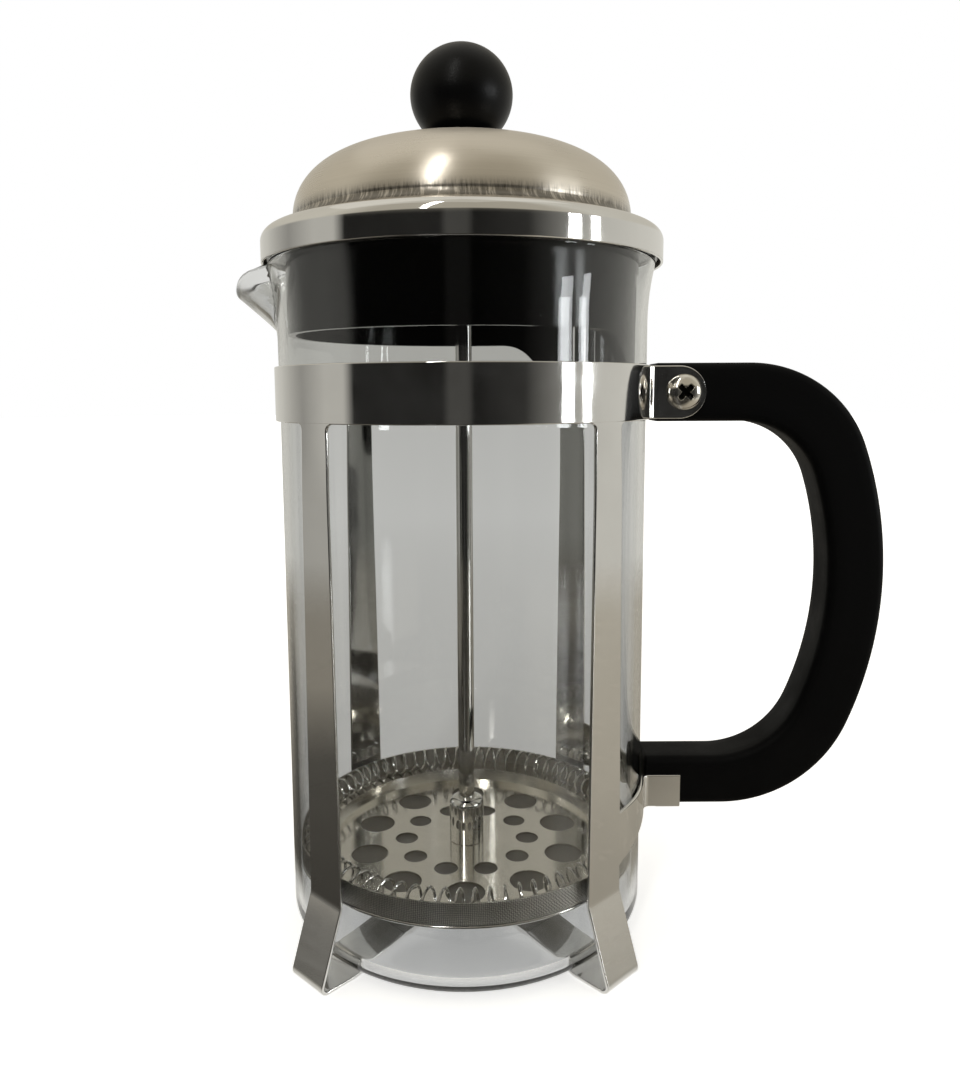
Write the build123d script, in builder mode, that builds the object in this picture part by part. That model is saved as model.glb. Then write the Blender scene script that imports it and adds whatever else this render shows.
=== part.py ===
from build123d import *
from math import asin, cos, hypot, pi, radians, sin, sqrt
import os

os.makedirs("parts", exist_ok=True)

# A glass plunger pot for coffee, standing in a bent-strap frame with a side handle.
# Millimetres, +Z up. The table is Z = 0 and the beaker's axis is the Z axis.
# The handle points along +X and the pouring lip along -X.

# Clearances
seat_gap = 0.3  # beaker above the straps that carry it, and lid above the rim
strap_gap = 0.35  # band and legs round the glass
table_gap = 0.5  # table to the straps under the beaker
slide_gap = 0.05  # rod in its bush, radial
turn_gap = 0.15  # lid on its bush
fit_gap = 0.05  # pieces that are assembled together and do not move
filter_gap = 0.35  # filter edge to the glass, radial
collar_gap = 0.8  # lid collar to the glass, radial
rim_gap = 0.8  # lid collar's flange to the lid's skirt, radial
knob_gap = 0.25  # knob above the bush when the plunger is down
handle_gap = 1.0  # handle's ends to what they face

# Beaker
beaker_r = 49.5
glass_t = 1.8
beaker_h = 179.8  # lowest ring of glass to the rim
base_t = 2.4
base_corner_r = 6.0
punt_r = 29.5  # flat middle of the raised base
punt_rise = 2.6
flare = 2.0  # how far the rim opens outwards
flare_h = 16.0
spout_reach = 11.8  # lip beyond the straight wall
spout_h = 17.5
spout_drop = 7.7  # lip's tip below the rim
lip_sink = 1.0  # lip's edge below the rim where the lid's skirt passes over it
lip_fullness = 0.72  # how far the lip's edge bows towards its corner, 0.71 for a quarter ellipse
spout_root_r = 6.5
spout_mouth_r = 14.0

# Frame of bent strap
strap_t = 0.9
band_z = 140.3
band_h = 14.1
leg_angle = 46.0  # legs from the X axis
leg_top_w = 9.8
leg_foot_w = 12.5
leg_web_r = 1.5  # fillet where a leg runs into the band
kink_z = 20.5
kink_bend_r = 4.0
foot_spread = 6.9  # foot beyond the leg
foot_bend_r = 1.6
strap_bend_r = 10.0
ear_bend_r = 1.6

# Handle and its fasteners
handle_t = 14.0
arm_top_h = 15.7
arm_low_h = 13.9
arm_drop = 109.4  # between the middles of the two arms
grip_t = 15.5
grip_reach = 65.2  # grip's bow beyond the band
grip_r = 107.7
grip_rise = 3.4  # top of the bow above the middle of the arms
corner_top_out_r = 34.0
corner_top_in_r = 22.0
corner_low_out_r = 38.0
corner_low_in_r = 25.0
handle_edge_r = 2.0
ear_reach = 14.3  # ears beyond the band
screw_reach = 8.3  # screw beyond the band
screw_r = 2.45
screw_head_r = 4.8
screw_head_h = 2.6
recess_w = 1.2
recess_l = 5.0
recess_h = 1.4
nut_w = 8.0  # across flats
nut_h = 4.0

# Lower bracket, from leg to leg round the handle's lower end
tab_reach = 9.6  # tabs beyond the legs
tab_h = 9.2
stirrup_l = 6.8
arm_leg_h = 15.0  # arm's height where it leaves the leg
arm_leg_low = 4.8  # arm's foot below the tabs

# Lid
lid_overhang = 1.8  # skirt beyond the flared rim of the glass
dome_t = 0.7
skirt_drop = 0.8  # skirt's edge below the glass rim
skirt_h = 5.5
shoulder_r = 3.2
dome_inset = 8.4  # foot of the dome inside the skirt
ledge_h = 5.7  # skirt's top to the foot of the dome
dome_h = 19.9
dome_side_power = 3.3  # the dome's outline is a superellipse
dome_top_power = 2.2
dome_steps = 10
dome_flat_r = 13.0
collar_t = 1.9
collar_drop = 19.1  # collar below the glass rim
tongue_drop = 10.4  # tongue below the rest of the collar
tongue_angle = 12.0  # the tongue faces away from the lip while the pot is closed
tongue_low_w = 55.0
tongue_top_w = 81.0
flange_t = 1.6
boss_r = 8.0
panel_angle = 72.0  # thinned panel in the tongue, with the straining slots
panel_depth = 0.5
panel_drop = 4.0  # panel below the glass rim
slot_w = 2.0
slot_count = 11
slot_margin = 3.5

# Bush in the lid
bush_r = 4.6
bush_flange_r = 12.1
bush_flange_t = 2.2
bush_edge_r = 0.7
bush_tail = 4.0  # bush below the collar's web
bush_nut_r = 8.5
bush_nut_h = 3.2

# Plunger
knob_r = 13.6
knob_half_h = 13.0
knob_foot = 11.3  # knob's middle above its flat foot
insert_r = 3.4
insert_h = 12.0
rod_r = 2.3
sleeve_r = 4.95
sleeve_h = 13.0
sleeve_edge_r = 2.2
filter_lift = 11.5  # filter plate above the beaker's floor
plate_t = 0.6
mesh_t = 0.4
cross_t = 0.8
dish_rim_w = 7.95  # dish floor inside the filter's edge
dish_lean = 0.8
dish_h = 3.3
mesh_wall_h = 6.0
small_hole_r = 3.25
small_ring_r = 17.6
large_hole_r = 5.2
large_ring_r = 28.7
ring_count = 10
boss_low_r = 5.2
boss_low_h = 3.6
spoke_w = 9.0
window_in_r = 11.0
window_inset = 4.4  # windows inside the dish floor's edge

# Coil spring round the filter
spring_turns = 72
spring_wire_r = 0.36
spring_coil_r = 3.2  # outside of one turn
spring_opening = 4.0  # degrees between the two ends

# Heights and radii that follow
seat_z = table_gap + strap_t + seat_gap
rim_z = seat_z + beaker_h
bore_r = beaker_r - glass_t
punt_z = seat_z + punt_rise
floor_z = punt_z + base_t
ring_r = beaker_r - base_corner_r
band_in_r = beaker_r + strap_gap
band_out_r = band_in_r + strap_t
leg_r = band_in_r + strap_t / 2
ear_in = handle_t / 2 + fit_gap
ear_out = ear_in + strap_t
ear_tip_x = band_out_r + ear_reach
screw_x = band_out_r + screw_reach
screw_z = band_z + band_h / 2
screw_hole_r = screw_r + fit_gap
handle_low_z = screw_z - arm_drop - arm_low_h / 2
lid_r = beaker_r + flare + lid_overhang
dome_r = lid_r - dome_inset
lid_z = rim_z + seat_gap
skirt_z = rim_z - skirt_drop
skirt_top_z = skirt_z + skirt_h
dome_z = skirt_top_z + ledge_h
collar_r = bore_r - collar_gap
collar_z = rim_z - collar_drop
tongue_z = collar_z - tongue_drop
web_z = lid_z + flange_t
plate_z = floor_z + filter_lift
rod_hole_r = rod_r + fit_gap
mesh_wall_r = bore_r - filter_gap


def dome_point(share, sheet):
    """Point of the dome's superellipse, share 0 at the crown and 1 at the foot, one sheet thickness in."""
    turn = share * pi / 2
    across = (dome_r - sheet) * sin(turn) ** (2 / dome_side_power)
    up = (dome_h - sheet) * cos(turn) ** (2 / dome_top_power)
    return across, dome_z + up


# Share of the superellipse where the crown's flat seat ends
flat_sine = (dome_flat_r / dome_r) ** (dome_side_power / 2)
flat_share = asin(flat_sine) / (pi / 2)
crown_z = dome_point(flat_share, 0)[1]
crown_in_z = dome_point(flat_share, dome_t)[1]


def cup_outline(wall_r, corner_r, low_z, middle_z):
    """Half section of the beaker, filled to the axis: raised base, round corner, wall and flared rim."""
    foot_r = wall_r - corner_r
    Polyline((0, rim_z), (0, middle_z), (punt_r, middle_z), (foot_r, low_z))
    RadiusArc((foot_r, low_z), (wall_r, low_z + corner_r), -corner_r)
    Line((wall_r, low_z + corner_r), (wall_r, rim_z - flare_h))
    TangentArc((wall_r, rim_z - flare_h), (wall_r + flare, rim_z), tangent=(0, 1))
    Line((wall_r + flare, rim_z), (0, rim_z))


# Beaker with its pouring lip
spout_slope = spout_reach / (spout_h - spout_drop)
spout_top_x = beaker_r + spout_slope * spout_h
spout_wall_x = glass_t * hypot(1, spout_slope)
lip_tip_x = beaker_r + spout_reach
lip_tip_z = rim_z - spout_drop
lip_edge_z = rim_z - lip_sink
lip_flat_x = beaker_r + 1.5 * flare
lip_bow_x = lip_flat_x + (lip_tip_x - lip_flat_x) * lip_fullness
lip_bow_z = lip_tip_z + (lip_edge_z - lip_tip_z) * lip_fullness
lip_far_x = spout_top_x + glass_t

with BuildPart() as beaker:
    with BuildSketch(Plane.XZ):
        with BuildLine():
            cup_outline(beaker_r, base_corner_r, seat_z, punt_z)
        make_face()
    revolve(axis=Axis.Z)
    with BuildSketch(Plane.XY.offset(rim_z - spout_h)):
        with Locations((spout_root_r - beaker_r, 0)):
            Circle(spout_root_r)
    with BuildSketch(Plane.XY.offset(rim_z)):
        with Locations((spout_mouth_r - spout_top_x, 0)):
            Circle(spout_mouth_r)
    loft()
    with BuildSketch(Plane.XZ):
        with BuildLine():
            cup_outline(bore_r, base_corner_r - glass_t / 2, seat_z + base_t, floor_z)
        make_face()
    revolve(axis=Axis.Z, mode=Mode.SUBTRACT)
    with BuildSketch(Plane.XY.offset(rim_z - spout_h)):
        with Locations((spout_wall_x - glass_t + spout_root_r - beaker_r, 0)):
            Circle(spout_root_r - glass_t)
    with BuildSketch(Plane.XY.offset(rim_z)):
        with Locations((spout_wall_x - glass_t + spout_mouth_r - spout_top_x, 0)):
            Circle(spout_mouth_r - glass_t)
    loft(mode=Mode.SUBTRACT)
    with BuildSketch(Plane.XZ):
        with BuildLine():
            Spline(
                (-lip_flat_x, lip_edge_z),
                (-lip_bow_x, lip_bow_z),
                (-lip_tip_x, lip_tip_z),
                tangents=[(-1, 0), (0, -1)],
            )
            Polyline(
                (-lip_tip_x, lip_tip_z),
                (-lip_far_x, lip_tip_z),
                (-lip_far_x, rim_z + glass_t),
                (-bore_r, rim_z + glass_t),
                (-bore_r, rim_z),
                (-beaker_r, lip_edge_z),
                (-lip_flat_x, lip_edge_z),
            )
        make_face()
    extrude(amount=spout_mouth_r * 2, both=True, mode=Mode.SUBTRACT)


def add_ears(reach_x):
    """Open a strap ring on the handle's side and turn its two ends outwards as flat ears."""
    with Locations((band_out_r, 0)):
        Rectangle(band_out_r, 2 * ear_in, mode=Mode.SUBTRACT)
    root_x = sqrt(band_in_r**2 - ear_in**2)
    with Locations(*[((root_x + reach_x) / 2, side * (ear_in + ear_out) / 2) for side in (1, -1)]):
        Rectangle(reach_x - root_x, strap_t)


def bend_corners(plan):
    """The two corners of a strap ring's plan where its ears leave the round."""
    bend_x = sqrt(band_out_r**2 - ear_out**2)
    return [plan.vertices().sort_by_distance((bend_x, side * ear_out, 0))[0] for side in (1, -1)]


# Band round the glass, its ends turned out as ears that hold the handle
with BuildPart() as frame_band:
    with BuildSketch() as band_plan:
        Circle(band_out_r)
        Circle(band_in_r, mode=Mode.SUBTRACT)
        add_ears(ear_tip_x)
        fillet(bend_corners(band_plan), radius=ear_bend_r)
    extrude(amount=band_h)
    ear_tips = frame_band.edges().filter_by(Axis.Y).group_by(Axis.X)[-1]
    fillet(ear_tips, radius=band_h / 2 - fit_gap)
    with BuildSketch(Plane.XZ):
        with Locations((screw_x, band_h / 2)):
            Circle(screw_hole_r)
    extrude(amount=2 * ear_out, both=True, mode=Mode.SUBTRACT)
frame_band.part.position = (0, 0, band_z)

# Legs: straight down the glass, out at the kink, folded at the foot and back under the beaker
strap_slope = punt_rise / (ring_r - punt_r)
strap_half_z = strap_t / 2 * hypot(1, strap_slope)
cross_top_z = punt_z - seat_gap
rest_r = punt_r + (cross_top_z - strap_half_z - strap_t / 2) / strap_slope
inner_r = punt_r - strap_t
inner_z = cross_top_z - strap_half_z + strap_slope * strap_t
leg_half_reach = leg_top_w / 2 + leg_web_r + leg_foot_w / 2


def leg_plane(angle, out):
    """Upright plane facing outwards at an angle round the beaker, at a distance from the axis."""
    turn = radians(angle)
    facing = Vector(cos(turn), sin(turn), 0)
    return Plane(origin=facing * out, x_dir=(-sin(turn), cos(turn), 0), z_dir=facing)


def radial_plane(angle):
    """Upright plane through the axis whose first direction points outwards at an angle."""
    turn = radians(angle)
    return Plane(origin=(0, 0, 0), x_dir=(cos(turn), sin(turn), 0), z_dir=(sin(turn), -cos(turn), 0))


def build_leg(angle):
    """One leg as a bent strap that widens towards its foot and is filleted into the band."""
    with BuildPart() as leg:
        with BuildSketch(radial_plane(angle)):
            with BuildLine():
                FilletPolyline(
                    (leg_r, band_z),
                    (leg_r, kink_z),
                    (leg_r + foot_spread, strap_t / 2),
                    (rest_r, strap_t / 2),
                    (inner_r, inner_z),
                    radius=(kink_bend_r, foot_bend_r, strap_bend_r),
                )
            trace(line_width=strap_t)
        extrude(amount=leg_half_reach, both=True)
        with BuildSketch(leg_plane(angle, punt_r)):
            with BuildLine():
                Line((-leg_top_w / 2 - leg_web_r, band_z), (leg_top_w / 2 + leg_web_r, band_z))
                RadiusArc(
                    (leg_top_w / 2 + leg_web_r, band_z),
                    (leg_top_w / 2, band_z - leg_web_r),
                    -leg_web_r,
                )
                Polyline(
                    (leg_top_w / 2, band_z - leg_web_r),
                    (leg_foot_w / 2, kink_z),
                    (leg_foot_w / 2, -strap_t),
                    (-leg_foot_w / 2, -strap_t),
                    (-leg_foot_w / 2, kink_z),
                    (-leg_top_w / 2, band_z - leg_web_r),
                )
                RadiusArc(
                    (-leg_top_w / 2, band_z - leg_web_r),
                    (-leg_top_w / 2 - leg_web_r, band_z),
                    -leg_web_r,
                )
            make_face()
        extrude(amount=leg_r + 2 * foot_spread - punt_r, mode=Mode.INTERSECT)
    return leg


leg_angles = {
    "leg_front_left": 180 + leg_angle,
    "leg_front_right": -leg_angle,
    "leg_back_left": 180 - leg_angle,
    "leg_back_right": leg_angle,
}
legs = {name: build_leg(angle) for name, angle in leg_angles.items()}

# Cross under the beaker, where the four straps meet
with BuildPart() as base_cross:
    with BuildSketch(Plane.XY.offset(cross_top_z - strap_t)):
        with Locations(Rotation(0, 0, leg_angle), Rotation(0, 0, -leg_angle)):
            Rectangle(2 * punt_r, leg_foot_w)
    extrude(amount=strap_t)

# Bracket from leg to leg on the handle's side, with a stirrup under the handle's lower end
tab_low_z = handle_low_z
tab_top_z = tab_low_z + tab_h
arm_low_z = tab_low_z - arm_leg_low
arm_top_z = arm_low_z + arm_leg_h
tab_tip_x = band_out_r + tab_reach
leg_share = (arm_low_z - kink_z) / (band_z - leg_web_r - kink_z)
leg_side = (leg_foot_w + (leg_top_w - leg_foot_w) * leg_share) / 2 + fit_gap
wedge_x = leg_side / sin(radians(leg_angle))
wedge_out = 2 * beaker_r
arm_leg_x = band_out_r * cos(radians(leg_angle)) + leg_side

with BuildPart() as lower_bracket:
    with BuildSketch(Plane.XY.offset(arm_low_z)) as bracket_plan:
        Circle(band_out_r)
        Circle(band_in_r, mode=Mode.SUBTRACT)
        add_ears(tab_tip_x)
        fillet(bend_corners(bracket_plan), radius=ear_bend_r)
        with BuildLine():
            Polyline(
                (wedge_x, 0),
                (wedge_x + wedge_out * cos(radians(leg_angle)), wedge_out * sin(radians(leg_angle))),
                (wedge_x + wedge_out * cos(radians(leg_angle)), -wedge_out * sin(radians(leg_angle))),
                close=True,
            )
        make_face(mode=Mode.INTERSECT)
    extrude(amount=arm_leg_h)
    with BuildSketch(Plane.XZ):
        with BuildLine():
            Polyline(
                (0, arm_low_z),
                (arm_leg_x, arm_low_z),
                (band_out_r, tab_low_z),
                (tab_tip_x, tab_low_z),
                (tab_tip_x, tab_top_z),
                (band_out_r, tab_top_z),
                (arm_leg_x, arm_top_z),
                (0, arm_top_z),
                close=True,
            )
        make_face()
    extrude(amount=beaker_r, both=True, mode=Mode.INTERSECT)
    with BuildSketch(Plane.XY.offset(tab_low_z)):
        with Locations((tab_tip_x - stirrup_l / 2, 0)):
            Rectangle(stirrup_l, 2 * ear_out)
    extrude(amount=strap_t)

# Handle: two straight arms joined by a bowed grip
arm_mid_z = screw_z - arm_drop
grip_x = band_out_r + grip_reach - grip_r
grip_z = (screw_z + arm_mid_z) / 2 + grip_rise
arm_top_x = band_out_r + handle_gap
arm_low_x = beaker_r + handle_gap


def arm_corner(bow_r, corner_r, arm_z, sign):
    """Where a corner leaves an arm's edge and where it runs into the grip's bow; sign is +1 on the top arm."""
    middle_z = arm_z - sign * corner_r
    middle_x = grip_x + sqrt((bow_r - corner_r) ** 2 - (middle_z - grip_z) ** 2)
    stretch = bow_r / (bow_r - corner_r)
    meets = (grip_x + (middle_x - grip_x) * stretch, grip_z + (middle_z - grip_z) * stretch)
    return (middle_x, arm_z), meets


def handle_side(bow_r, top_z, low_z, top_corner_r, low_corner_r):
    """One side of the handle, from the end of the top arm round the bow to the end of the lower arm."""
    top_start, top_meets = arm_corner(bow_r, top_corner_r, top_z, 1)
    low_start, low_meets = arm_corner(bow_r, low_corner_r, low_z, -1)
    Line((arm_top_x, top_z), top_start)
    TangentArc(top_start, top_meets, tangent=(1, 0))
    ThreePointArc(top_meets, (grip_x + bow_r, grip_z), low_meets)
    TangentArc(low_start, low_meets, tangent=(1, 0))
    Line(low_start, (arm_low_x, low_z))


handle_top_z = screw_z + arm_top_h / 2
handle_top_in_z = screw_z - arm_top_h / 2
handle_low_in_z = arm_mid_z + arm_low_h / 2

with BuildPart() as handle:
    with BuildSketch(Plane.XZ):
        with BuildLine():
            handle_side(grip_r, handle_top_z, handle_low_z, corner_top_out_r, corner_low_out_r)
            handle_side(
                grip_r - grip_t, handle_top_in_z, handle_low_in_z, corner_top_in_r, corner_low_in_r
            )
            Line((arm_top_x, handle_top_z), (arm_top_x, handle_top_in_z))
            Line((arm_low_x, handle_low_z), (arm_low_x, handle_low_in_z))
        make_face()
    extrude(amount=handle_t / 2, both=True)
    fillet(handle.faces().filter_by(Axis.Y).edges(), radius=handle_edge_r)
    with BuildSketch(Plane.XZ):
        with Locations((screw_x, screw_z)):
            Circle(screw_hole_r)
        with Locations((arm_low_x, tab_low_z)):
            Rectangle(2 * (tab_tip_x + fit_gap - arm_low_x), 2 * (strap_t + fit_gap))
    extrude(amount=handle_t, both=True, mode=Mode.SUBTRACT)

# Screw through the ears and the handle, with its nut behind
with BuildPart() as handle_screw:
    with BuildSketch(Plane.XZ.offset(ear_out)):
        with Locations((screw_x, screw_z)):
            Circle(screw_head_r)
    extrude(amount=screw_head_h)
    fillet(handle_screw.faces().sort_by(Axis.Y)[0].edges(), radius=screw_head_h * 0.92)
    with BuildSketch(Plane.XZ.offset(ear_out + screw_head_h)):
        with Locations((screw_x, screw_z)):
            Rectangle(recess_l, recess_w, rotation=45)
            Rectangle(recess_l, recess_w, rotation=-45)
    extrude(amount=-recess_h, mode=Mode.SUBTRACT)
    with BuildSketch(Plane.XZ.offset(ear_out)):
        with Locations((screw_x, screw_z)):
            Circle(screw_r)
    extrude(amount=-2 * ear_out - nut_h)

with BuildPart() as handle_nut:
    with BuildSketch(Plane.XZ.offset(-ear_out)):
        with Locations((screw_x, screw_z)):
            RegularPolygon(nut_w / 2, side_count=6, major_radius=False)
            Circle(screw_hole_r, mode=Mode.SUBTRACT)
    extrude(amount=-nut_h)

# Lid: one pressing with a skirt, a shoulder and a domed crown
bush_hole_r = bush_r + turn_gap


def dome_outline(sheet):
    """Half section of the lid, filled to the axis, with every surface one sheet thickness in."""
    skirt_r = lid_r - sheet
    turn_r = shoulder_r - sheet
    ledge_z = skirt_top_z + turn_r
    foot = dome_point(1, sheet)
    shares = [1 + (flat_share - 1) * step / dome_steps for step in range(dome_steps + 1)]
    crown = dome_point(flat_share, sheet)
    Polyline((0, skirt_z), (skirt_r, skirt_z), (skirt_r, skirt_top_z))
    RadiusArc((skirt_r, skirt_top_z), (skirt_r - turn_r, ledge_z), -turn_r)
    Line((skirt_r - turn_r, ledge_z), foot)
    Spline(*[dome_point(share, sheet) for share in shares])
    Polyline(crown, (0, crown[1]), (0, skirt_z))


with BuildPart() as lid_dome:
    with BuildSketch(Plane.XZ):
        with BuildLine():
            dome_outline(0)
        make_face()
    revolve(axis=Axis.Z)
    with BuildSketch(Plane.XZ):
        with BuildLine():
            dome_outline(dome_t)
        make_face()
    revolve(axis=Axis.Z, mode=Mode.SUBTRACT)
    with BuildSketch(Plane.XY.offset(skirt_z)):
        Circle(bush_hole_r)
    extrude(amount=crown_z + dome_t - skirt_z, mode=Mode.SUBTRACT)

# Collar inside the glass: a ring with a flange on the rim, a web to the bush and a straining tongue
flange_r = lid_r - dome_t - rim_gap
boss_top_z = crown_in_z - fit_gap
tongue_mid = (tongue_low_w + tongue_top_w) / 4
panel_h = rim_z - panel_drop - tongue_z
slot_span = panel_angle * (slot_count - 1) / (slot_count + 1)


def panel_corner(side):
    """Point well outside the collar on one edge of the thinned panel's wedge."""
    turn = radians(tongue_angle + side * panel_angle / 2)
    return 2 * collar_r * cos(turn), 2 * collar_r * sin(turn)


with BuildPart() as lid_collar:
    with BuildSketch(Plane.XZ):
        with BuildLine():
            Polyline(
                (bush_hole_r, lid_z),
                (collar_r - collar_t, lid_z),
                (collar_r - collar_t, tongue_z),
                (collar_r, tongue_z),
                (collar_r, lid_z),
                (flange_r, lid_z),
                (flange_r, web_z),
                (boss_r, web_z),
                (boss_r, boss_top_z),
                (bush_hole_r, boss_top_z),
                close=True,
            )
        make_face()
    revolve(axis=Axis.Z)
    with BuildSketch(leg_plane(tongue_angle, 0)):
        with Locations((0, collar_z)):
            Rectangle(3 * collar_r, 2 * tongue_drop, align=(Align.CENTER, Align.MAX))
        with BuildLine():
            for side in (1, -1):
                Bezier(
                    (side * tongue_top_w / 2, collar_z),
                    (side * tongue_mid, collar_z),
                    (side * tongue_mid, tongue_z),
                    (side * tongue_low_w / 2, tongue_z),
                )
            Line((tongue_top_w / 2, collar_z), (-tongue_top_w / 2, collar_z))
            Line((tongue_low_w / 2, tongue_z), (-tongue_low_w / 2, tongue_z))
        make_face(mode=Mode.SUBTRACT)
    extrude(amount=beaker_r, mode=Mode.SUBTRACT)
    with BuildSketch(leg_plane(tongue_angle, 0)):
        with Locations((0, collar_z)):
            Rectangle(3 * collar_r, 2 * tongue_drop, align=(Align.CENTER, Align.MAX))
    extrude(amount=-beaker_r, mode=Mode.SUBTRACT)
    with BuildSketch(Plane.XY.offset(tongue_z)):
        with BuildLine():
            Polyline((0, 0), panel_corner(-1), panel_corner(1), close=True)
        make_face()
        Circle(collar_r - panel_depth, mode=Mode.SUBTRACT)
    extrude(amount=panel_h, mode=Mode.SUBTRACT)
    with Locations((0, 0, tongue_z + panel_h / 2)):
        with PolarLocations(
            collar_r - collar_t / 2,
            slot_count,
            start_angle=tongue_angle - slot_span / 2,
            angular_range=slot_span,
            endpoint=True,
        ):
            Box(3 * collar_t, slot_w, panel_h - 2 * slot_margin, mode=Mode.SUBTRACT)

# Bush that guides the rod through the lid, and the ring nut that keeps it there
bush_seat_z = crown_z + turn_gap
bush_top_z = bush_seat_z + bush_flange_t
bush_low_z = lid_z - bush_tail
bush_bore_r = rod_r + slide_gap
bush_nut_z = lid_z - turn_gap - bush_nut_h

with BuildPart() as lid_bush:
    with BuildSketch(Plane.XZ):
        with BuildLine():
            Polyline(
                (bush_bore_r, bush_low_z),
                (bush_r, bush_low_z),
                (bush_r, bush_seat_z),
                (bush_flange_r, bush_seat_z),
                (bush_flange_r, bush_top_z),
                (bush_bore_r, bush_top_z),
                close=True,
            )
        make_face()
    revolve(axis=Axis.Z)
    fillet(lid_bush.edges().filter_by(GeomType.CIRCLE).sort_by(SortBy.RADIUS)[-2:], radius=bush_edge_r)

with BuildPart() as bush_nut:
    with BuildSketch(Plane.XY.offset(bush_nut_z)):
        RegularPolygon(bush_nut_r, side_count=8)
        Circle(bush_r + fit_gap, mode=Mode.SUBTRACT)
    extrude(amount=bush_nut_h)

# Knob, its threaded insert and the rod
knob_z = bush_top_z + knob_gap
knob_mid_z = knob_z + knob_foot
rod_top_z = knob_z + insert_h - rod_r
dish_floors = {
    "plate": plate_z,
    "mesh": plate_z - plate_t - fit_gap,
    "cross": plate_z - plate_t - mesh_t - 2 * fit_gap,
}
cross_low_z = dish_floors["cross"] - cross_t - boss_low_h

knob_foot_turn = asin(knob_foot / knob_half_h)
knob_steps = 8
knob_turns = [pi / 2 - (pi / 2 + knob_foot_turn) * step / knob_steps for step in range(knob_steps + 1)]
knob_outline = [(knob_r * cos(turn), knob_mid_z + knob_half_h * sin(turn)) for turn in knob_turns]

with BuildPart() as knob:
    with BuildSketch(Plane.XZ):
        with BuildLine():
            Spline(
                *knob_outline,
                tangents=[(1, 0), (-knob_r * sin(knob_foot_turn), -knob_half_h * cos(knob_foot_turn))],
            )
            Polyline(
                knob_outline[-1],
                (insert_r + fit_gap, knob_z),
                (insert_r + fit_gap, knob_z + insert_h + fit_gap),
                (0, knob_z + insert_h + fit_gap),
                knob_outline[0],
            )
        make_face()
    revolve(axis=Axis.Z)

with BuildPart() as knob_insert:
    with BuildSketch(Plane.XY.offset(knob_z)):
        Circle(insert_r)
        Circle(rod_hole_r, mode=Mode.SUBTRACT)
    extrude(amount=insert_h)

with BuildPart() as plunger_rod:
    with BuildSketch(Plane.XY.offset(cross_low_z)):
        Circle(rod_r)
    extrude(amount=rod_top_z - cross_low_z)
    chamfer(plunger_rod.edges().filter_by(GeomType.CIRCLE), length=rod_r / 5)

# Sleeve that clamps the filter on the rod
with BuildPart() as rod_sleeve:
    with BuildSketch(Plane.XY.offset(plate_z + fit_gap)):
        Circle(sleeve_r)
        Circle(rod_hole_r, mode=Mode.SUBTRACT)
    extrude(amount=sleeve_h)
    sleeve_top = rod_sleeve.edges().filter_by(GeomType.CIRCLE).group_by(Axis.Z)[-1]
    fillet(sleeve_top.sort_by(SortBy.RADIUS)[-1], radius=sleeve_edge_r)

# Filter: three nested dishes with a raised shelf, the middle one of fine mesh with an outer wall
dish_floor_r = mesh_wall_r - dish_rim_w
shelf_z = plate_z + dish_h
spring_mid_z = shelf_z + fit_gap + spring_coil_r


def dish_outline(top_z, sheet, nest, edge_r):
    """Half section of a dish; nest is how far its wall lies outside the wall of the top dish."""
    top_floor_r = dish_floor_r + nest
    top_wall_r = top_floor_r + dish_lean
    Polyline(
        (rod_hole_r, top_z),
        (top_floor_r, top_z),
        (top_wall_r, top_z + dish_h),
        (edge_r, top_z + dish_h),
        (edge_r, top_z + dish_h - sheet),
        (top_wall_r + sheet, top_z + dish_h - sheet),
        (top_floor_r + sheet, top_z - sheet),
        (rod_hole_r, top_z - sheet),
        close=True,
    )


window_out_r = dish_floor_r - window_inset
mesh_nest = plate_t + fit_gap
cross_nest = mesh_nest + mesh_t + fit_gap
spring_r = mesh_wall_r - mesh_t - 4 * fit_gap - spring_coil_r

with BuildPart() as filter_plate:
    with BuildSketch(Plane.XZ):
        with BuildLine():
            dish_outline(plate_z, plate_t, 0, mesh_wall_r - mesh_t - fit_gap)
        make_face()
    revolve(axis=Axis.Z)
    with BuildSketch(Plane.XY.offset(plate_z - 2 * plate_t)):
        with PolarLocations(small_ring_r, ring_count):
            Circle(small_hole_r)
        with PolarLocations(large_ring_r, ring_count, start_angle=180 / ring_count):
            Circle(large_hole_r)
    extrude(amount=3 * plate_t, mode=Mode.SUBTRACT)

with BuildPart() as filter_mesh:
    with BuildSketch(Plane.XZ):
        with BuildLine():
            dish_outline(dish_floors["mesh"], mesh_t, mesh_nest, mesh_wall_r)
        make_face()
        with Locations((mesh_wall_r - mesh_t, dish_floors["mesh"] + dish_h - mesh_t)):
            Rectangle(mesh_t, mesh_wall_h, align=(Align.MIN, Align.MIN))
    revolve(axis=Axis.Z)

with BuildPart() as cross_plate:
    with BuildSketch(Plane.XZ):
        with BuildLine():
            dish_outline(dish_floors["cross"], cross_t, cross_nest, mesh_wall_r)
        make_face()
        with Locations((rod_hole_r, cross_low_z)):
            Rectangle(boss_low_r - rod_hole_r, boss_low_h, align=(Align.MIN, Align.MIN))
    revolve(axis=Axis.Z)
    cross_rims = cross_plate.edges().filter_by(GeomType.CIRCLE).sort_by(SortBy.RADIUS)
    fillet(cross_rims[-2:], radius=cross_t * 0.45)
    with BuildSketch(Plane.XY.offset(dish_floors["cross"] - 2 * cross_t)):
        Circle(window_out_r)
        Circle(window_in_r, mode=Mode.SUBTRACT)
        with Locations(Rotation(0, 0, 45), Rotation(0, 0, -45)):
            Rectangle(2 * window_out_r, spoke_w, mode=Mode.SUBTRACT)
    extrude(amount=3 * cross_t, mode=Mode.SUBTRACT)

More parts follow.
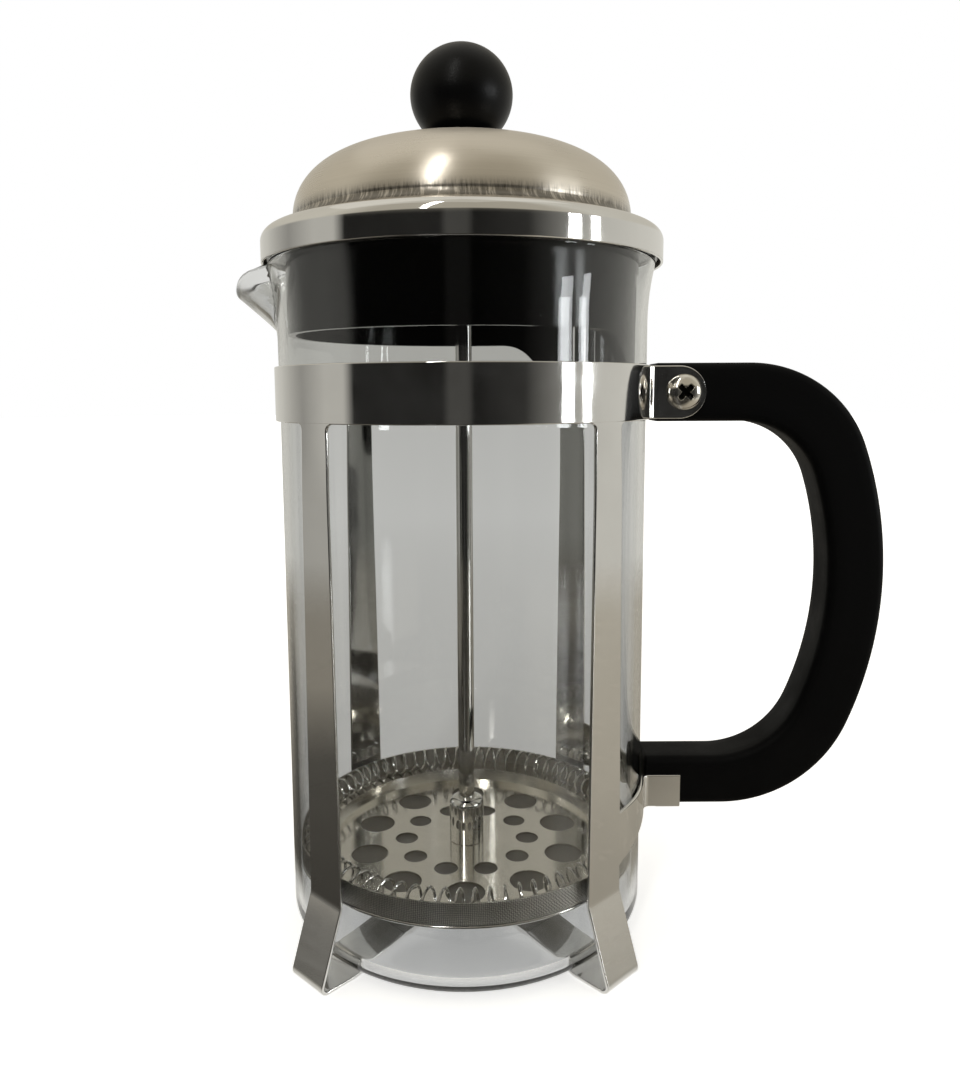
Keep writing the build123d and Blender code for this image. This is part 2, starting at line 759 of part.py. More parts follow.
# Coil spring that presses the mesh's wall against the glass: a helix bent round in a ring
coil_r = spring_coil_r - spring_wire_r
ring_turn = radians(360 - spring_opening)


def coil_point(turns):
    """Point on the spring's centre line after a number of turns."""
    round_coil = 2 * pi * turns
    round_ring = ring_turn * turns / spring_turns
    out = spring_r + coil_r * cos(round_coil)
    return Vector(out * cos(round_ring), out * sin(round_ring), spring_mid_z + coil_r * sin(round_coil))


def coil_heading(turns):
    """Unit direction of the centre line after a number of turns."""
    step = 0.001
    return (coil_point(turns + step) - coil_point(turns - step)).normalized()


def half_turn(start):
    """Biarc over half a turn: two arcs that share their tangent where they meet."""
    from_point, to_point = coil_point(start), coil_point(start + 0.5)
    from_heading, to_heading = coil_heading(start), coil_heading(start + 0.5)
    gap = to_point - from_point
    lean = gap.dot(from_heading + to_heading)
    spread = 2 * (1 - from_heading.dot(to_heading))
    reach = (sqrt(lean**2 + spread * gap.dot(gap)) - lean) / spread
    ahead = from_point + from_heading * reach
    behind = to_point - to_heading * reach
    middle = (ahead + behind) / 2
    first = TangentArc(from_point, middle, tangent=from_heading)
    second = TangentArc(middle, to_point, tangent=behind - ahead)
    return [first, second]


def least_gap(samples):
    """Least clear gap between the wire of one turn and of the turns beside it, on points."""
    here = [coil_point(1 + step / samples) for step in range(samples)]
    beside = [coil_point(2 + step / samples) for step in range(-samples // 2, samples + samples // 2)]
    apart = [
        (a - b).length
        for i, a in enumerate(here)
        for j, b in enumerate(beside)
        if abs(samples + j - samples // 2 - i) > samples // 2
    ]
    return min(apart) - 2 * spring_wire_r


spring_path = Wire([arc for half in range(2 * spring_turns) for arc in half_turn(half / 2)])
print("least gap of the spring to itself:", round(least_gap(48), 2), "mm")

with BuildPart() as filter_spring:
    with BuildSketch(Plane(origin=coil_point(0), z_dir=coil_heading(0))):
        Circle(spring_wire_r)
    sweep(path=spring_path)

pieces = {
    "beaker": beaker,
    "frame_band": frame_band,
    **legs,
    "base_cross": base_cross,
    "lower_bracket": lower_bracket,
    "handle": handle,
    "handle_screw": handle_screw,
    "handle_nut": handle_nut,
    "lid_dome": lid_dome,
    "lid_collar": lid_collar,
    "lid_bush": lid_bush,
    "bush_nut": bush_nut,
    "knob": knob,
    "knob_insert": knob_insert,
    "plunger_rod": plunger_rod,
    "rod_sleeve": rod_sleeve,
    "filter_plate": filter_plate,
    "filter_mesh": filter_mesh,
    "cross_plate": cross_plate,
    "filter_spring": filter_spring,
}
for name, piece in pieces.items():
    piece.part.label = name
    export_step(piece.part, f"parts/{name}.step")
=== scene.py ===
"""A glass coffee press in a strap frame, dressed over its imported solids."""

import math

import bmesh
import bpy
import numpy as np
from bpy.props import FloatProperty, FloatVectorProperty, IntProperty, PointerProperty
from mathutils import Matrix, Vector


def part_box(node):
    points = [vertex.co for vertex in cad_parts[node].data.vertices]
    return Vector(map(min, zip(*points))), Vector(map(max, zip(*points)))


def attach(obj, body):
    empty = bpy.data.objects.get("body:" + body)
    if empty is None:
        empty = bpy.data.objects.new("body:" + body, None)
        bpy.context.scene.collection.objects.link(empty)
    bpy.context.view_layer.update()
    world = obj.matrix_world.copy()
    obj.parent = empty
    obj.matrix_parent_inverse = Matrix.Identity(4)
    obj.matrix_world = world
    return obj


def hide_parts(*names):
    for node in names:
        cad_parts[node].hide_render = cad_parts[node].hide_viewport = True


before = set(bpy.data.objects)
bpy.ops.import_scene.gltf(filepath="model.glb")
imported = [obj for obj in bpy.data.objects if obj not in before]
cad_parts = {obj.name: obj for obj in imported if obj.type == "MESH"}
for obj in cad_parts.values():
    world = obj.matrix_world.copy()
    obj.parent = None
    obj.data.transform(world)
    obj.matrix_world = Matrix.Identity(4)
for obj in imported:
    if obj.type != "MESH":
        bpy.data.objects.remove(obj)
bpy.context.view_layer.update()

bl_info = {
    "name": "Glass Coffee Press",
    "version": (1, 0, 0),
    "blender": (4, 5, 0),
    "location": "View3D > Sidebar > Press",
    "description": "Surfaces and finishes of a glass coffee press over its packed solids",
    "category": "Add Mesh",
}

MM = 0.001
PLAY = 0.05 * MM
SPACING = 0.45 * MM


def top_of(node):
    """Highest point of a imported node, in metres."""
    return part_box(node)[1].z


def foot_of(node):
    """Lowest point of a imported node, in metres."""
    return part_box(node)[0].z


def length(name, description, default):
    """A size in metres with its label and tooltip."""
    return FloatProperty(
        name=name, description=description, default=default, min=0.0, precision=5, unit="LENGTH"
    )


def rotation(name, description, degrees):
    """An angle with its label and tooltip."""
    return FloatProperty(
        name=name, description=description, default=math.radians(degrees), subtype="ANGLE", unit="ROTATION"
    )


def fullness(name, description, default):
    """A power of a rounded curve with its label and tooltip."""
    return FloatProperty(name=name, description=description, default=default, min=1.0)


def colour(name, description, default):
    """A linear colour with its label and tooltip."""
    return FloatVectorProperty(
        name=name, description=description, default=default, size=3, min=0.0, max=1.0, subtype="COLOR"
    )


class PressBeakerSizes(bpy.types.PropertyGroup):
    """Sizes of the glass beaker."""

    radius: length("Radius", "Outside radius of the straight glass wall", 49.5 * MM)
    wall: length("Wall", "Thickness of the glass wall", 1.8 * MM)
    foot: length("Foot", "Height of the lowest ring of glass above the table", foot_of("beaker"))
    rim: length("Rim", "Height of the rim above the table", top_of("beaker"))
    base: length("Base", "Thickness of the glass base", 2.4 * MM)
    corner: length("Corner", "Rounding between base and wall", 6.0 * MM)
    punt: length("Punt", "Radius of the raised middle of the base", 29.5 * MM)
    punt_rise: length("Punt Rise", "How far the middle of the base is raised", 2.6 * MM)
    flare: length("Flare", "How far the rim opens outwards", 2.0 * MM)
    flare_height: length("Flare Height", "Height of the opening part of the wall", 16.0 * MM)
    lip_reach: length("Lip Reach", "How far the pouring lip stands out", 11.8 * MM)
    lip_height: length("Lip Height", "Height of the pouring lip", 17.5 * MM)
    lip_drop: length("Lip Drop", "How far the lip's tip lies below the rim", 7.7 * MM)
    lip_root: length("Lip Root", "Radius of the lip where it leaves the wall", 6.5 * MM)
    lip_mouth: length("Lip Mouth", "Radius of the lip at the rim", 14.0 * MM)


class PressStrapSizes(bpy.types.PropertyGroup):
    """Sizes of the bent strap frame."""

    thickness: length("Thickness", "Thickness of the strap", 0.9 * MM)
    edge: length("Edge", "Rounding of the strap's edges", 0.26 * MM)
    radius: length("Radius", "Radius of the strap's middle round the glass", 50.3 * MM)
    leg_top: length("Leg Top", "Width of a leg at the band", 9.8 * MM)
    leg_foot: length("Leg Foot", "Width of a leg at its foot", 12.5 * MM)
    leg_web: length("Leg Web", "Fillet where a leg runs into the band", 1.5 * MM)
    kink: length("Kink", "Height where the legs turn outwards", 20.5 * MM)
    kink_bend: length("Kink Bend", "Bend radius at the kink", 4.0 * MM)
    foot_bend: length("Foot Bend", "Bend radius at the foot", 1.6 * MM)
    spread: length("Spread", "How far the feet stand outside the legs", 6.9 * MM)
    ear_bend: length("Ear Bend", "Bend radius of the ears", 2.05 * MM)
    leg_angle: rotation("Leg Angle", "Angle of the legs from the handle's plane", 46)


class PressHandleSizes(bpy.types.PropertyGroup):
    """Sizes of the handle."""

    thickness: length("Thickness", "Thickness of the handle", 14.0 * MM)
    grip: length("Grip", "Depth of the grip", 15.5 * MM)
    bow: length("Bow", "Radius of the grip's outer edge", 107.7 * MM)
    bow_height: length("Bow Height", "Height of the middle of the grip's bow", 96.05 * MM)
    top_arm: length("Top Arm", "Height of the top arm", 15.7 * MM)
    low_arm: length("Low Arm", "Height of the lower arm", 13.9 * MM)
    top_outer: length("Top Outer Corner", "Outer corner radius at the top", 34.0 * MM)
    top_inner: length("Top Inner Corner", "Inner corner radius at the top", 22.0 * MM)
    low_outer: length("Low Outer Corner", "Outer corner radius at the bottom", 38.0 * MM)
    low_inner: length("Low Inner Corner", "Inner corner radius at the bottom", 25.0 * MM)
    edge: length("Edge", "Rounding of the handle's long edges", 2.2 * MM)
    end: length("End", "Rounding of the handle's ends", 0.8 * MM)
    head: length("Screw Head", "Radius of the screw's domed head", 4.8 * MM)
    head_height: length("Screw Head Height", "Height of the screw's domed head", 2.6 * MM)
    shank: length("Shank", "Radius of the screw's shank", 2.45 * MM)
    cross_length: length("Cross Length", "Length of the cross pressed into the head", 5.2 * MM)
    cross_width: length("Cross Width", "Width of the cross's arms", 1.25 * MM)
    cross_depth: length("Cross Depth", "Depth of the cross in its middle", 1.9 * MM)


class PressLidSizes(bpy.types.PropertyGroup):
    """Sizes of the lid, its bush and the knob."""

    skirt: length("Skirt", "Radius of the lid's skirt", 53.29 * MM)
    sheet: length("Sheet", "Thickness of the lid's sheet", 0.7 * MM)
    skirt_height: length("Skirt Height", "Height of the upright part of the skirt", 5.5 * MM)
    shoulder: length("Shoulder", "Rounding of the skirt's upper edge", 3.2 * MM)
    dome: length("Dome", "Radius of the dome's foot", 44.9 * MM)
    dome_foot: length("Dome Foot", "Height of the dome's foot above the skirt's upright part", 5.7 * MM)
    dome_rise: length("Dome Rise", "Height of the dome", 19.9 * MM)
    hollow: length("Hollow", "Rounding between the ledge and the dome", 3.2 * MM)
    side_power: fullness("Side Power", "Fullness of the dome's sides", 3.3)
    top_power: fullness("Top Power", "Fullness of the dome's crown", 2.2)
    bush_hole: length("Bush Hole", "Radius of the hole for the bush", 4.75 * MM)
    knob: length("Knob", "Radius of the knob", 13.6 * MM)
    knob_half: length("Knob Half Height", "Half the height of the whole ball", 13.0 * MM)


class PressPlungerSizes(bpy.types.PropertyGroup):
    """Sizes of the rod and the filter."""

    rod: length("Rod", "Radius of the rod", 2.3 * MM)
    sleeve: length("Sleeve", "Radius of the sleeve on the filter", 4.95 * MM)
    mesh_edge: length("Mesh Edge", "Radius of the mesh's upturned wall", 47.35 * MM)
    mesh_sheet: length("Mesh Sheet", "Thickness of the mesh", 0.4 * MM)
    coil: length("Coil", "Radius of one turn of the spring, at the wire's middle", 2.84 * MM)
    coil_ring: length("Coil Ring", "Radius of the ring that the spring is bent into", 43.55 * MM)
    wire: length("Wire", "Radius of the spring's wire", 0.36 * MM)
    turns: IntProperty(name="Turns", description="Turns of the spring", default=72, min=12)
    opening: rotation("Opening", "Angle between the spring's two ends", 4)


class PressFinishes(bpy.types.PropertyGroup):
    """Colours of the press."""

    glass: colour("Glass", "Tint of the clear glass", (0.985, 0.993, 0.99))
    polished: colour("Polished Steel", "Colour of the polished strap and rod", (0.83, 0.82, 0.80))
    satin: colour("Satin Steel", "Colour of the satin lid", (0.70, 0.645, 0.56))
    plate: colour("Plate Steel", "Colour of the filter's plates", (0.84, 0.82, 0.77))
    nickel: colour("Nickel", "Colour of the screw and nut", (0.78, 0.75, 0.69))
    brass: colour("Brass", "Colour of the knob's insert", (0.72, 0.52, 0.22))
    wire: colour("Wire", "Colour of the spring", (0.70, 0.69, 0.67))
    weave: colour("Weave", "Colour of the woven mesh", (0.58, 0.56, 0.52))
    moulded: colour("Moulded Black", "Colour of the handle and the knob", (0.0018, 0.0018, 0.0019))
    gloss: colour("Gloss Black", "Colour of the collar and the bush", (0.0015, 0.0015, 0.0016))
    floor: colour("Floor", "Colour of the studio floor", (0.86, 0.86, 0.855))


# Shapes


def arc(centre, radius, start, end, count):
    """Arc in a plane: the centre plus the radius along an even run of angles, in degrees."""
    a = np.radians(np.linspace(start, end, count))
    return np.stack([centre[0] + radius * np.cos(a), centre[1] + radius * np.sin(a)], 1)


def line(start, end, count):
    """Even run of points between two points."""
    return np.linspace(start, end, count)


def route(*runs):
    """Runs of points joined end to end, with repeated points dropped."""
    points = np.concatenate([np.atleast_2d(run) for run in runs])
    apart = np.linalg.norm(np.diff(points, axis=0), axis=1)
    return points[np.concatenate([[True], apart > 1e-8])]


def travelled(points):
    """Distance along a line of points from its start to each of them."""
    return np.concatenate([[0], np.cumsum(np.linalg.norm(np.diff(points, axis=0), axis=1))])


def unit(vectors):
    """The same directions with a length of one."""
    return vectors / np.linalg.norm(vectors, axis=-1, keepdims=True)


def headings(points):
    """Direction of a line at each of its points."""
    return unit(np.gradient(points, axis=0))


def left_of(heading):
    """Directions in a plane turned a quarter to the left."""
    return np.stack([-heading[:, 1], heading[:, 0]], 1)


def evenly(points, spacing):
    """The same line read at even distances along its length."""
    along = travelled(points)
    places = np.linspace(0, along[-1], int(along[-1] / spacing) + 2)
    return np.stack([np.interp(places, along, points[:, k]) for k in range(points.shape[1])], 1)


def rounded(corners, radii, count=12):
    """Straight runs through the corners, each inner corner replaced by the arc that touches both runs."""
    corners = np.asarray(corners, float)
    runs = [corners[:1]]
    turn = np.linspace(0, 1, count)[:, None]
    for before, corner, after, radius in zip(corners, corners[1:], corners[2:], radii):
        back, ahead = unit(before - corner), unit(after - corner)
        half = np.arccos(np.clip(back @ ahead, -1, 1)) / 2
        middle = corner + unit(back + ahead) * radius / np.sin(half)
        first, last = (corner + way * radius / np.tan(half) - middle for way in (back, ahead))
        sweep = np.arccos(np.clip(first @ last / radius**2, -1, 1))
        swung = np.sin((1 - turn) * sweep) * first + np.sin(turn * sweep) * last
        runs.append(middle + swung / np.sin(sweep))
    return route(*runs, corners[-1:])


def ease(share):
    """Smooth step from 0 to 1: 3 s squared less 2 s cubed."""
    s = np.clip(share, 0, 1)
    return s * s * (3 - 2 * s)


def larger(a, b, blend):
    """Smooth maximum: the mean of a and b plus half the length of (a - b, blend)."""
    return 0.5 * (a + b + np.sqrt((a - b) ** 2 + blend**2))


def lathe(profile, count=240):
    """Profile of radius and height carried round the Z axis: x = r cos a, y = r sin a."""
    a = np.linspace(0, 2 * np.pi, count, endpoint=False)
    profile = np.asarray(profile, float)
    out, up = profile[:, :1], profile[:, 1:]
    return np.stack([out * np.cos(a), out * np.sin(a), up + 0 * a], -1)


def offset_inwards(profile, sheet):
    """Profile moved to its right-hand side by the sheet's thickness, along its own normals."""
    return profile - sheet * left_of(headings(profile))


def strap_section(thickness, edge, across=9, steps=4):
    """Closed section of a strap with round edges, one half and the same half turned about.

    Gives offsets through its thickness, shares of the flat half width and offsets past it.
    """
    half, flat = thickness / 2, thickness / 2 - edge
    t = np.radians(np.linspace(0, 90, steps + 1))[1:-1]
    run = np.concatenate([[1], np.linspace(0.985, -0.985, across - 2), [-1]])
    depth = [half + 0 * run, flat + edge * np.cos(t), [flat], [-flat], -flat - edge * np.sin(t)]
    share = [run, -1 + 0 * t, [-1], [-1], -1 + 0 * t]
    past = [0 * run, -edge * np.sin(t), [-edge], [-edge], -edge * np.cos(t)]
    halves = [np.concatenate(values) for values in (depth, share, past)]
    return [np.concatenate([values, -values]) for values in halves]


def grid_faces(rows, cols, wrap_rows, wrap_cols):
    """Quads between neighbouring grid points, wrapped round where asked."""
    i = np.arange(rows if wrap_rows else rows - 1)[:, None]
    j = np.arange(cols if wrap_cols else cols - 1)[None, :]
    after_i, after_j = (i + 1) % rows, (j + 1) % cols
    corners = [i * cols + j, i * cols + after_j, after_i * cols + after_j, after_i * cols + j]
    return np.stack(np.broadcast_arrays(*corners), -1).reshape(-1, 4)


def surface(name, grid, wrap_rows=False, wrap_cols=True, capped=False, sharp=38, row_slots=None):
    """Mesh object of a point grid, with closed ends and poles, outward faces and smooth shading."""
    rows, cols = grid.shape[:2]
    faces = grid_faces(rows, cols, wrap_rows, wrap_cols).tolist()
    row_slots = np.zeros(rows, int) if row_slots is None else row_slots
    slots = np.repeat(row_slots, cols if wrap_cols else cols - 1)[: len(faces)]
    if capped:
        faces += [list(range(cols)), list(range((rows - 1) * cols, rows * cols))]
        slots = np.concatenate([slots, [0, 0]])
    mesh = bpy.data.meshes.new(name)
    mesh.from_pydata(grid.reshape(-1, 3).tolist(), [], faces)
    mesh.polygons.foreach_set("material_index", slots.astype(np.int32))
    shell = bmesh.new()
    shell.from_mesh(mesh)
    bmesh.ops.remove_doubles(shell, verts=shell.verts, dist=1e-7)
    bmesh.ops.recalc_face_normals(shell, faces=shell.faces)
    shell.to_mesh(mesh)
    shell.free()
    mesh.polygons.foreach_set("use_smooth", np.ones(len(mesh.polygons), bool))
    mesh.set_sharp_from_angle(angle=math.radians(sharp))
    piece = bpy.data.objects.new(name, mesh)
    bpy.context.scene.collection.objects.link(piece)
    return piece


def place(piece, body, slot, finishes, *nodes):
    """Give a piece its finishes and its body, and hide the nodes that it stands for; the slot is not used."""
    for finish in finishes:
        piece.data.materials.append(finish)
    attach(piece, body)
    if nodes:
        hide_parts(*nodes)


def dress(node, finish):
    """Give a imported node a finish."""
    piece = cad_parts[node]
    if not piece.material_slots:
        raise RuntimeError(f"{node} has no material slot")
    for place_in in piece.material_slots:
        place_in.material = finish


# Finishes


def connect(tree, node, inputs):
    """Set or link a node's inputs by name or number."""
    for key, value in inputs.items():
        if isinstance(value, bpy.types.NodeSocket):
            tree.links.new(value, node.inputs[key])
        else:
            node.inputs[key].default_value = value


def finish_tree(name):
    """A new material; gives it, its tree, its Principled surface and the position on the object."""
    material = bpy.data.materials.new(name)
    material.use_nodes = True
    tree = material.node_tree
    tree.nodes.clear()
    out = tree.nodes.new("ShaderNodeOutputMaterial")
    skin = tree.nodes.new("ShaderNodeBsdfPrincipled")
    tree.links.new(skin.outputs["BSDF"], out.inputs["Surface"])
    return material, tree, skin, step(tree, "TexCoord").outputs["Object"]


def step(tree, kind, inputs=None, **settings):
    """Add a node, set its properties, and set or link its inputs."""
    node = tree.nodes.new("ShaderNode" + kind)
    for key, value in settings.items():
        setattr(node, key, value)
    connect(tree, node, inputs or {})
    return node


def math_step(tree, operation, *values):
    """Arithmetic on numbers or sockets; returns the result's socket."""
    return step(tree, "Math", dict(enumerate(values)), operation=operation).outputs[0]


def times(tree, value, factor, more=0.0):
    """A value times a factor, plus more."""
    return math_step(tree, "MULTIPLY_ADD", value, factor, more)


def noise(tree, where, scale, detail=3.0, rough=0.55):
    """Noise read at a position; returns its value's socket."""
    inputs = {"Vector": where, "Scale": scale, "Detail": detail, "Roughness": rough}
    return step(tree, "TexNoise", inputs).outputs["Fac"]


def spread(tree, value, low, high, from_low=0.3, from_high=0.7):
    """Stretch a value from one range to another, held at its ends."""
    inputs = {"Value": value, "From Min": from_low, "From Max": from_high, "To Min": low, "To Max": high}
    return step(tree, "MapRange", inputs, clamp=True).outputs["Result"]


def tinted(tree, value, dark, light):
    """Blend of two colours, or of their sockets, by a value."""
    dark, light = (end if isinstance(end, bpy.types.NodeSocket) else (*end, 1) for end in (dark, light))
    return step(tree, "Mix", {0: value, 6: dark, 7: light}, data_type="RGBA", blend_type="MIX").outputs[2]


def scaled(colour_value, factor):
    """A colour made lighter or darker."""
    return tuple(min(1.0, c * factor) for c in colour_value)


def colour_stops(ramp, stops):
    """Fill a colour ramp from pairs of position and colour."""
    elements = ramp.color_ramp.elements
    while len(elements) < len(stops):
        elements.new(0.5)
    for element, (position, tint) in zip(elements, stops):
        element.position, element.color = position, (*tint, 1)


def stretched(tree, where, scale):
    """A position with each axis scaled on its own."""
    return step(tree, "Mapping", {"Vector": where, "Scale": scale}).outputs["Vector"]


def around_axis(tree, where):
    """Angle round the Z axis, distance from it, height, and the direction out and down a turned shape."""
    x, y, z = step(tree, "SeparateXYZ", {0: where}).outputs
    angle = math_step(tree, "ARCTAN2", y, x)
    out = math_step(tree, "SQRT", times(tree, x, x, times(tree, y, y)))
    flat = step(tree, "CombineXYZ", {0: x, 1: y}).outputs[0]
    flat = step(tree, "VectorMath", {0: flat}, operation="NORMALIZE").outputs[0]
    heading = step(tree, "VectorMath", {0: flat, 1: (0, 0, -1)}, operation="ADD").outputs[0]
    return angle, out, z, heading


def bumped(tree, skin, height, strength, distance):
    """Raise a surface's normal by a height value."""
    inputs = {"Height": height, "Strength": strength, "Distance": distance}
    tree.links.new(step(tree, "Bump", inputs).outputs["Normal"], skin.inputs["Normal"])


def recess_shade(tree, where, recess):
    """Mask of painted shade: 1 deep in a recess that opens towards -Y, from the middle of its mouth and its
    radius.
    """
    across, mouth, up, radius = recess
    x, y, z = step(tree, "SeparateXYZ", {0: where}).outputs
    x, y, z = (math_step(tree, "SUBTRACT", *pair) for pair in ((x, across), (y, mouth), (z, up)))
    aside = step(tree, "CombineXYZ", {0: x, 1: z}).outputs[0]
    far = step(tree, "VectorMath", {0: aside}, operation="LENGTH").outputs["Value"]
    near = spread(tree, far, 1, 0, radius, 1.1 * radius)
    return times(tree, near, spread(tree, y, 0, 1, 0.4 * MM, 1.0 * MM))


def polished_steel(name, base, roughest=0.1, line_scale=(900, 900, 60), waves=1.0, recess=None):
    """Mirror-bright steel: slow waves from bending, faint rolling lines, handling marks, painted shade in a
    recess.
    """
    material, tree, skin, where = finish_tree(name)
    marks = noise(tree, where, 85, 5, 0.62)
    lines = noise(tree, stretched(tree, where, line_scale), 1.0, 2)
    slow = noise(tree, where, 34, 2, 0.4)
    tone = tinted(tree, marks, scaled(base, 0.92), base)
    # painted shade: the recess is darkened to near black
    if recess:
        tone = tinted(tree, recess_shade(tree, where, recess), tone, scaled(base, 0.05))
    rough = times(tree, lines, 0.03, spread(tree, marks, 0.02, roughest))
    connect(tree, skin, {"Metallic": 1.0, "Base Color": tone, "Roughness": rough})
    bumped(tree, skin, times(tree, lines, 0.012, times(tree, slow, waves)), 1.0, 0.00012)
    return material


def turned_satin(name, base, low=0.24, high=0.34, lines_per_m=5200, pull=0.7, relief=0.09, streaks_and_crease_shade=None):
    """Steel brushed round its axis: fine rings, highlights pulled across them, dark scuff marks and painted
    shade at a height.
    """
    material, tree, skin, where = finish_tree(name)
    angle, out, z, heading = around_axis(tree, where)
    ringed = {0: times(tree, out, lines_per_m), 1: times(tree, angle, 2.5), 2: times(tree, z, lines_per_m)}
    brush = noise(tree, step(tree, "CombineXYZ", ringed).outputs[0], 0.5, 3, 0.7)
    cloud = noise(tree, where, 38, 4, 0.6)
    grain = min(0.5, 5.5 * relief)
    shade = times(tree, brush, grain, times(tree, cloud, 1.0 - grain))
    # painted shade with scuff marks: the band is darkened all through, more along radial streaks
    if streaks_and_crease_shade:
        low_end, high_end, edge = streaks_and_crease_shade
        radial = step(tree, "CombineXYZ", {0: times(tree, angle, 60.0), 1: times(tree, z, 180.0)})
        scuffs_and_shade = spread(tree, noise(tree, radial.outputs[0], 1.0, 4, 0.7), 0.35, 1.35, 0.38, 0.62)
        inside = spread(tree, out, 1, 0, edge, edge + MM)
        near = times(tree, spread(tree, z, 1, 0, low_end, high_end), inside)
        shade = math_step(tree, "SUBTRACT", shade, times(tree, scuffs_and_shade, times(tree, near, 2.2)))
    ramp = step(tree, "ValToRGB", {0: spread(tree, shade, 0, 1, -1.0, 1.0)})
    colour_stops(ramp, ((0.0, scaled(base, 0.3)), (0.5, scaled(base, 0.82)), (0.9, scaled(base, 1.06))))
    rough = times(tree, brush, 0.12, spread(tree, cloud, low - 0.06, high - 0.06))
    connect(tree, skin, {"Metallic": 1.0, "Anisotropic": pull, "Tangent": heading})
    connect(tree, skin, {"Base Color": ramp.outputs["Color"], "Roughness": rough})
    bumped(tree, skin, brush, relief, 0.0001)
    return material


def moulded_black(name, base, low=0.42, high=0.6, shine=0.07):
    """Matte moulded plastic: sandy grain, soft sheen changes and a few rubbed places."""
    material, tree, skin, where = finish_tree(name)
    sand = noise(tree, where, 2600, 2, 0.6)
    rubbed = noise(tree, where, 46, 5, 0.65)
    specks = step(tree, "TexVoronoi", {"Vector": where, "Scale": 620.0}).outputs["Distance"]
    connect(tree, skin, {
        "Base Color": tinted(tree, spread(tree, rubbed, 0, 1, 0.45, 0.75), base, scaled(base, 1.7)),
        "Roughness": spread(tree, rubbed, high, low, 0.4, 0.75),
        "Specular IOR Level": shine,
    })
    bumped(tree, skin, times(tree, specks, 0.35, sand), 0.35, 0.00005)
    return material


def gloss_black(name, base):
    """Glossy moulded plastic with faint flow waves and fine handling scratches."""
    material, tree, skin, where = finish_tree(name)
    waves = noise(tree, where, 30, 2)
    scratches = noise(tree, stretched(tree, where, (2400, 2400, 90)), 1.0, 2)
    connect(tree, skin, {
        "Base Color": tinted(tree, waves, base, scaled(base, 1.6)),
        "Roughness": times(tree, scratches, 0.06, spread(tree, waves, 0.05, 0.12)),
        "Specular IOR Level": 0.22,
    })
    bumped(tree, skin, times(tree, scratches, 0.1, waves), 0.05, 0.0004)
    return material


def clear_glass(name, tint):
    """Clear blown glass: slow waves in the wall, a trace of haze from washing and a worn lip."""
    material, tree, skin, where = finish_tree(name)
    waves = noise(tree, stretched(tree, where, (34, 34, 12)), 1.0, 2)
    haze = noise(tree, where, 60, 4, 0.65)
    on_lip = spread(tree, step(tree, "SeparateXYZ", {0: where}).outputs[0], 1, 0, -0.057, -0.050)
    washed = spread(tree, haze, 0.0, 0.012, 0.5, 0.8)
    connect(tree, skin, {
        "Base Color": (*tint, 1),
        "Transmission Weight": 1.0,
        "IOR": 1.47,
        "Roughness": times(tree, on_lip, spread(tree, haze, 0.06, 0.24, 0.35, 0.65), washed),
    })
    bumped(tree, skin, waves, 0.08, 0.0006)
    return material


def woven_wire(name, base, round_wall, pitch):
    """Fine woven wire: two sets of wires that pass over and under each other, painted shade in the gaps."""
    material, tree, skin, where = finish_tree(name)
    per_metre = 2 * math.pi / pitch
    if round_wall:
        angle, out, z, _ = around_axis(tree, where)
        pulled = times(tree, noise(tree, where, 260, 3), 5.0)
        first = times(tree, angle, round(0.0472 * per_metre), pulled)
        second = times(tree, math_step(tree, "ADD", out, z), per_metre, pulled)
    else:
        x, y, _ = step(tree, "SeparateXYZ", {0: where}).outputs
        first, second = (times(tree, v, per_metre) for v in (x, y))
    crossed = times(tree, math_step(tree, "SINE", first), math_step(tree, "SINE", second))
    worn = noise(tree, where, 120, 4)
    # wires in their own colour, gaps darkened as painted shade, with worn patches at random
    shade = times(tree, math_step(tree, "ABSOLUTE", crossed), 0.75, times(tree, worn, 0.6, -0.1))
    connect(tree, skin, {
        "Metallic": 1.0,
        "Base Color": tinted(tree, shade, scaled(base, 0.18), scaled(base, 1.5)),
        "Roughness": spread(tree, worn, 0.34, 0.52),
    })
    bumped(tree, skin, crossed, 0.6, 0.00012)
    return material


# Beaker


def lip_reach(sizes, turn, z, inset, thinner):
    """Distance from the axis to the lip's slanted round cone at an angle from the lip and a height."""
    slope = sizes.lip_reach / (sizes.lip_height - sizes.lip_drop)
    share = (z - sizes.rim + sizes.lip_height) / sizes.lip_height
    tip = sizes.radius + slope * share * sizes.lip_height - inset
    around = np.maximum(sizes.lip_root + (sizes.lip_mouth - sizes.lip_root) * share - thinner, 1.5 * MM)
    middle = tip - around
    left = around**2 - (middle * np.sin(turn)) ** 2
    reach = middle * np.cos(turn) + np.sign(left) * np.sqrt(np.abs(left))
    return np.where(np.cos(turn) > 0.2, reach, 0.0)


def wall_radius(sizes, turn, z, inner):
    """Radius of the wall: straight, opened by a tangent arc near the rim, pulled out to the lip's cone."""
    arc_radius = (sizes.flare_height**2 + sizes.flare**2) / (2 * sizes.flare)
    above = np.clip(z - sizes.rim + sizes.flare_height, 0, None)
    opened = arc_radius - np.sqrt(arc_radius**2 - above**2)
    slope = sizes.lip_reach / (sizes.lip_height - sizes.lip_drop)
    drawn = 0.25 * ease((z - sizes.rim + sizes.lip_height) / sizes.lip_height)
    thin = sizes.wall * (1 - drawn) if inner else 0.0 * drawn
    lip = lip_reach(sizes, turn, z, thin * math.hypot(1, slope), thin)
    plain = sizes.radius - thin + opened
    blend, pinch, fade = 3.2 * MM, 0.55 * MM, 2 * MM
    pulled = larger(plain, lip, blend) - pinch * np.exp(-np.abs(plain - lip) / fade)
    return np.where(z > sizes.rim - 2 * sizes.lip_height, pulled, plain)


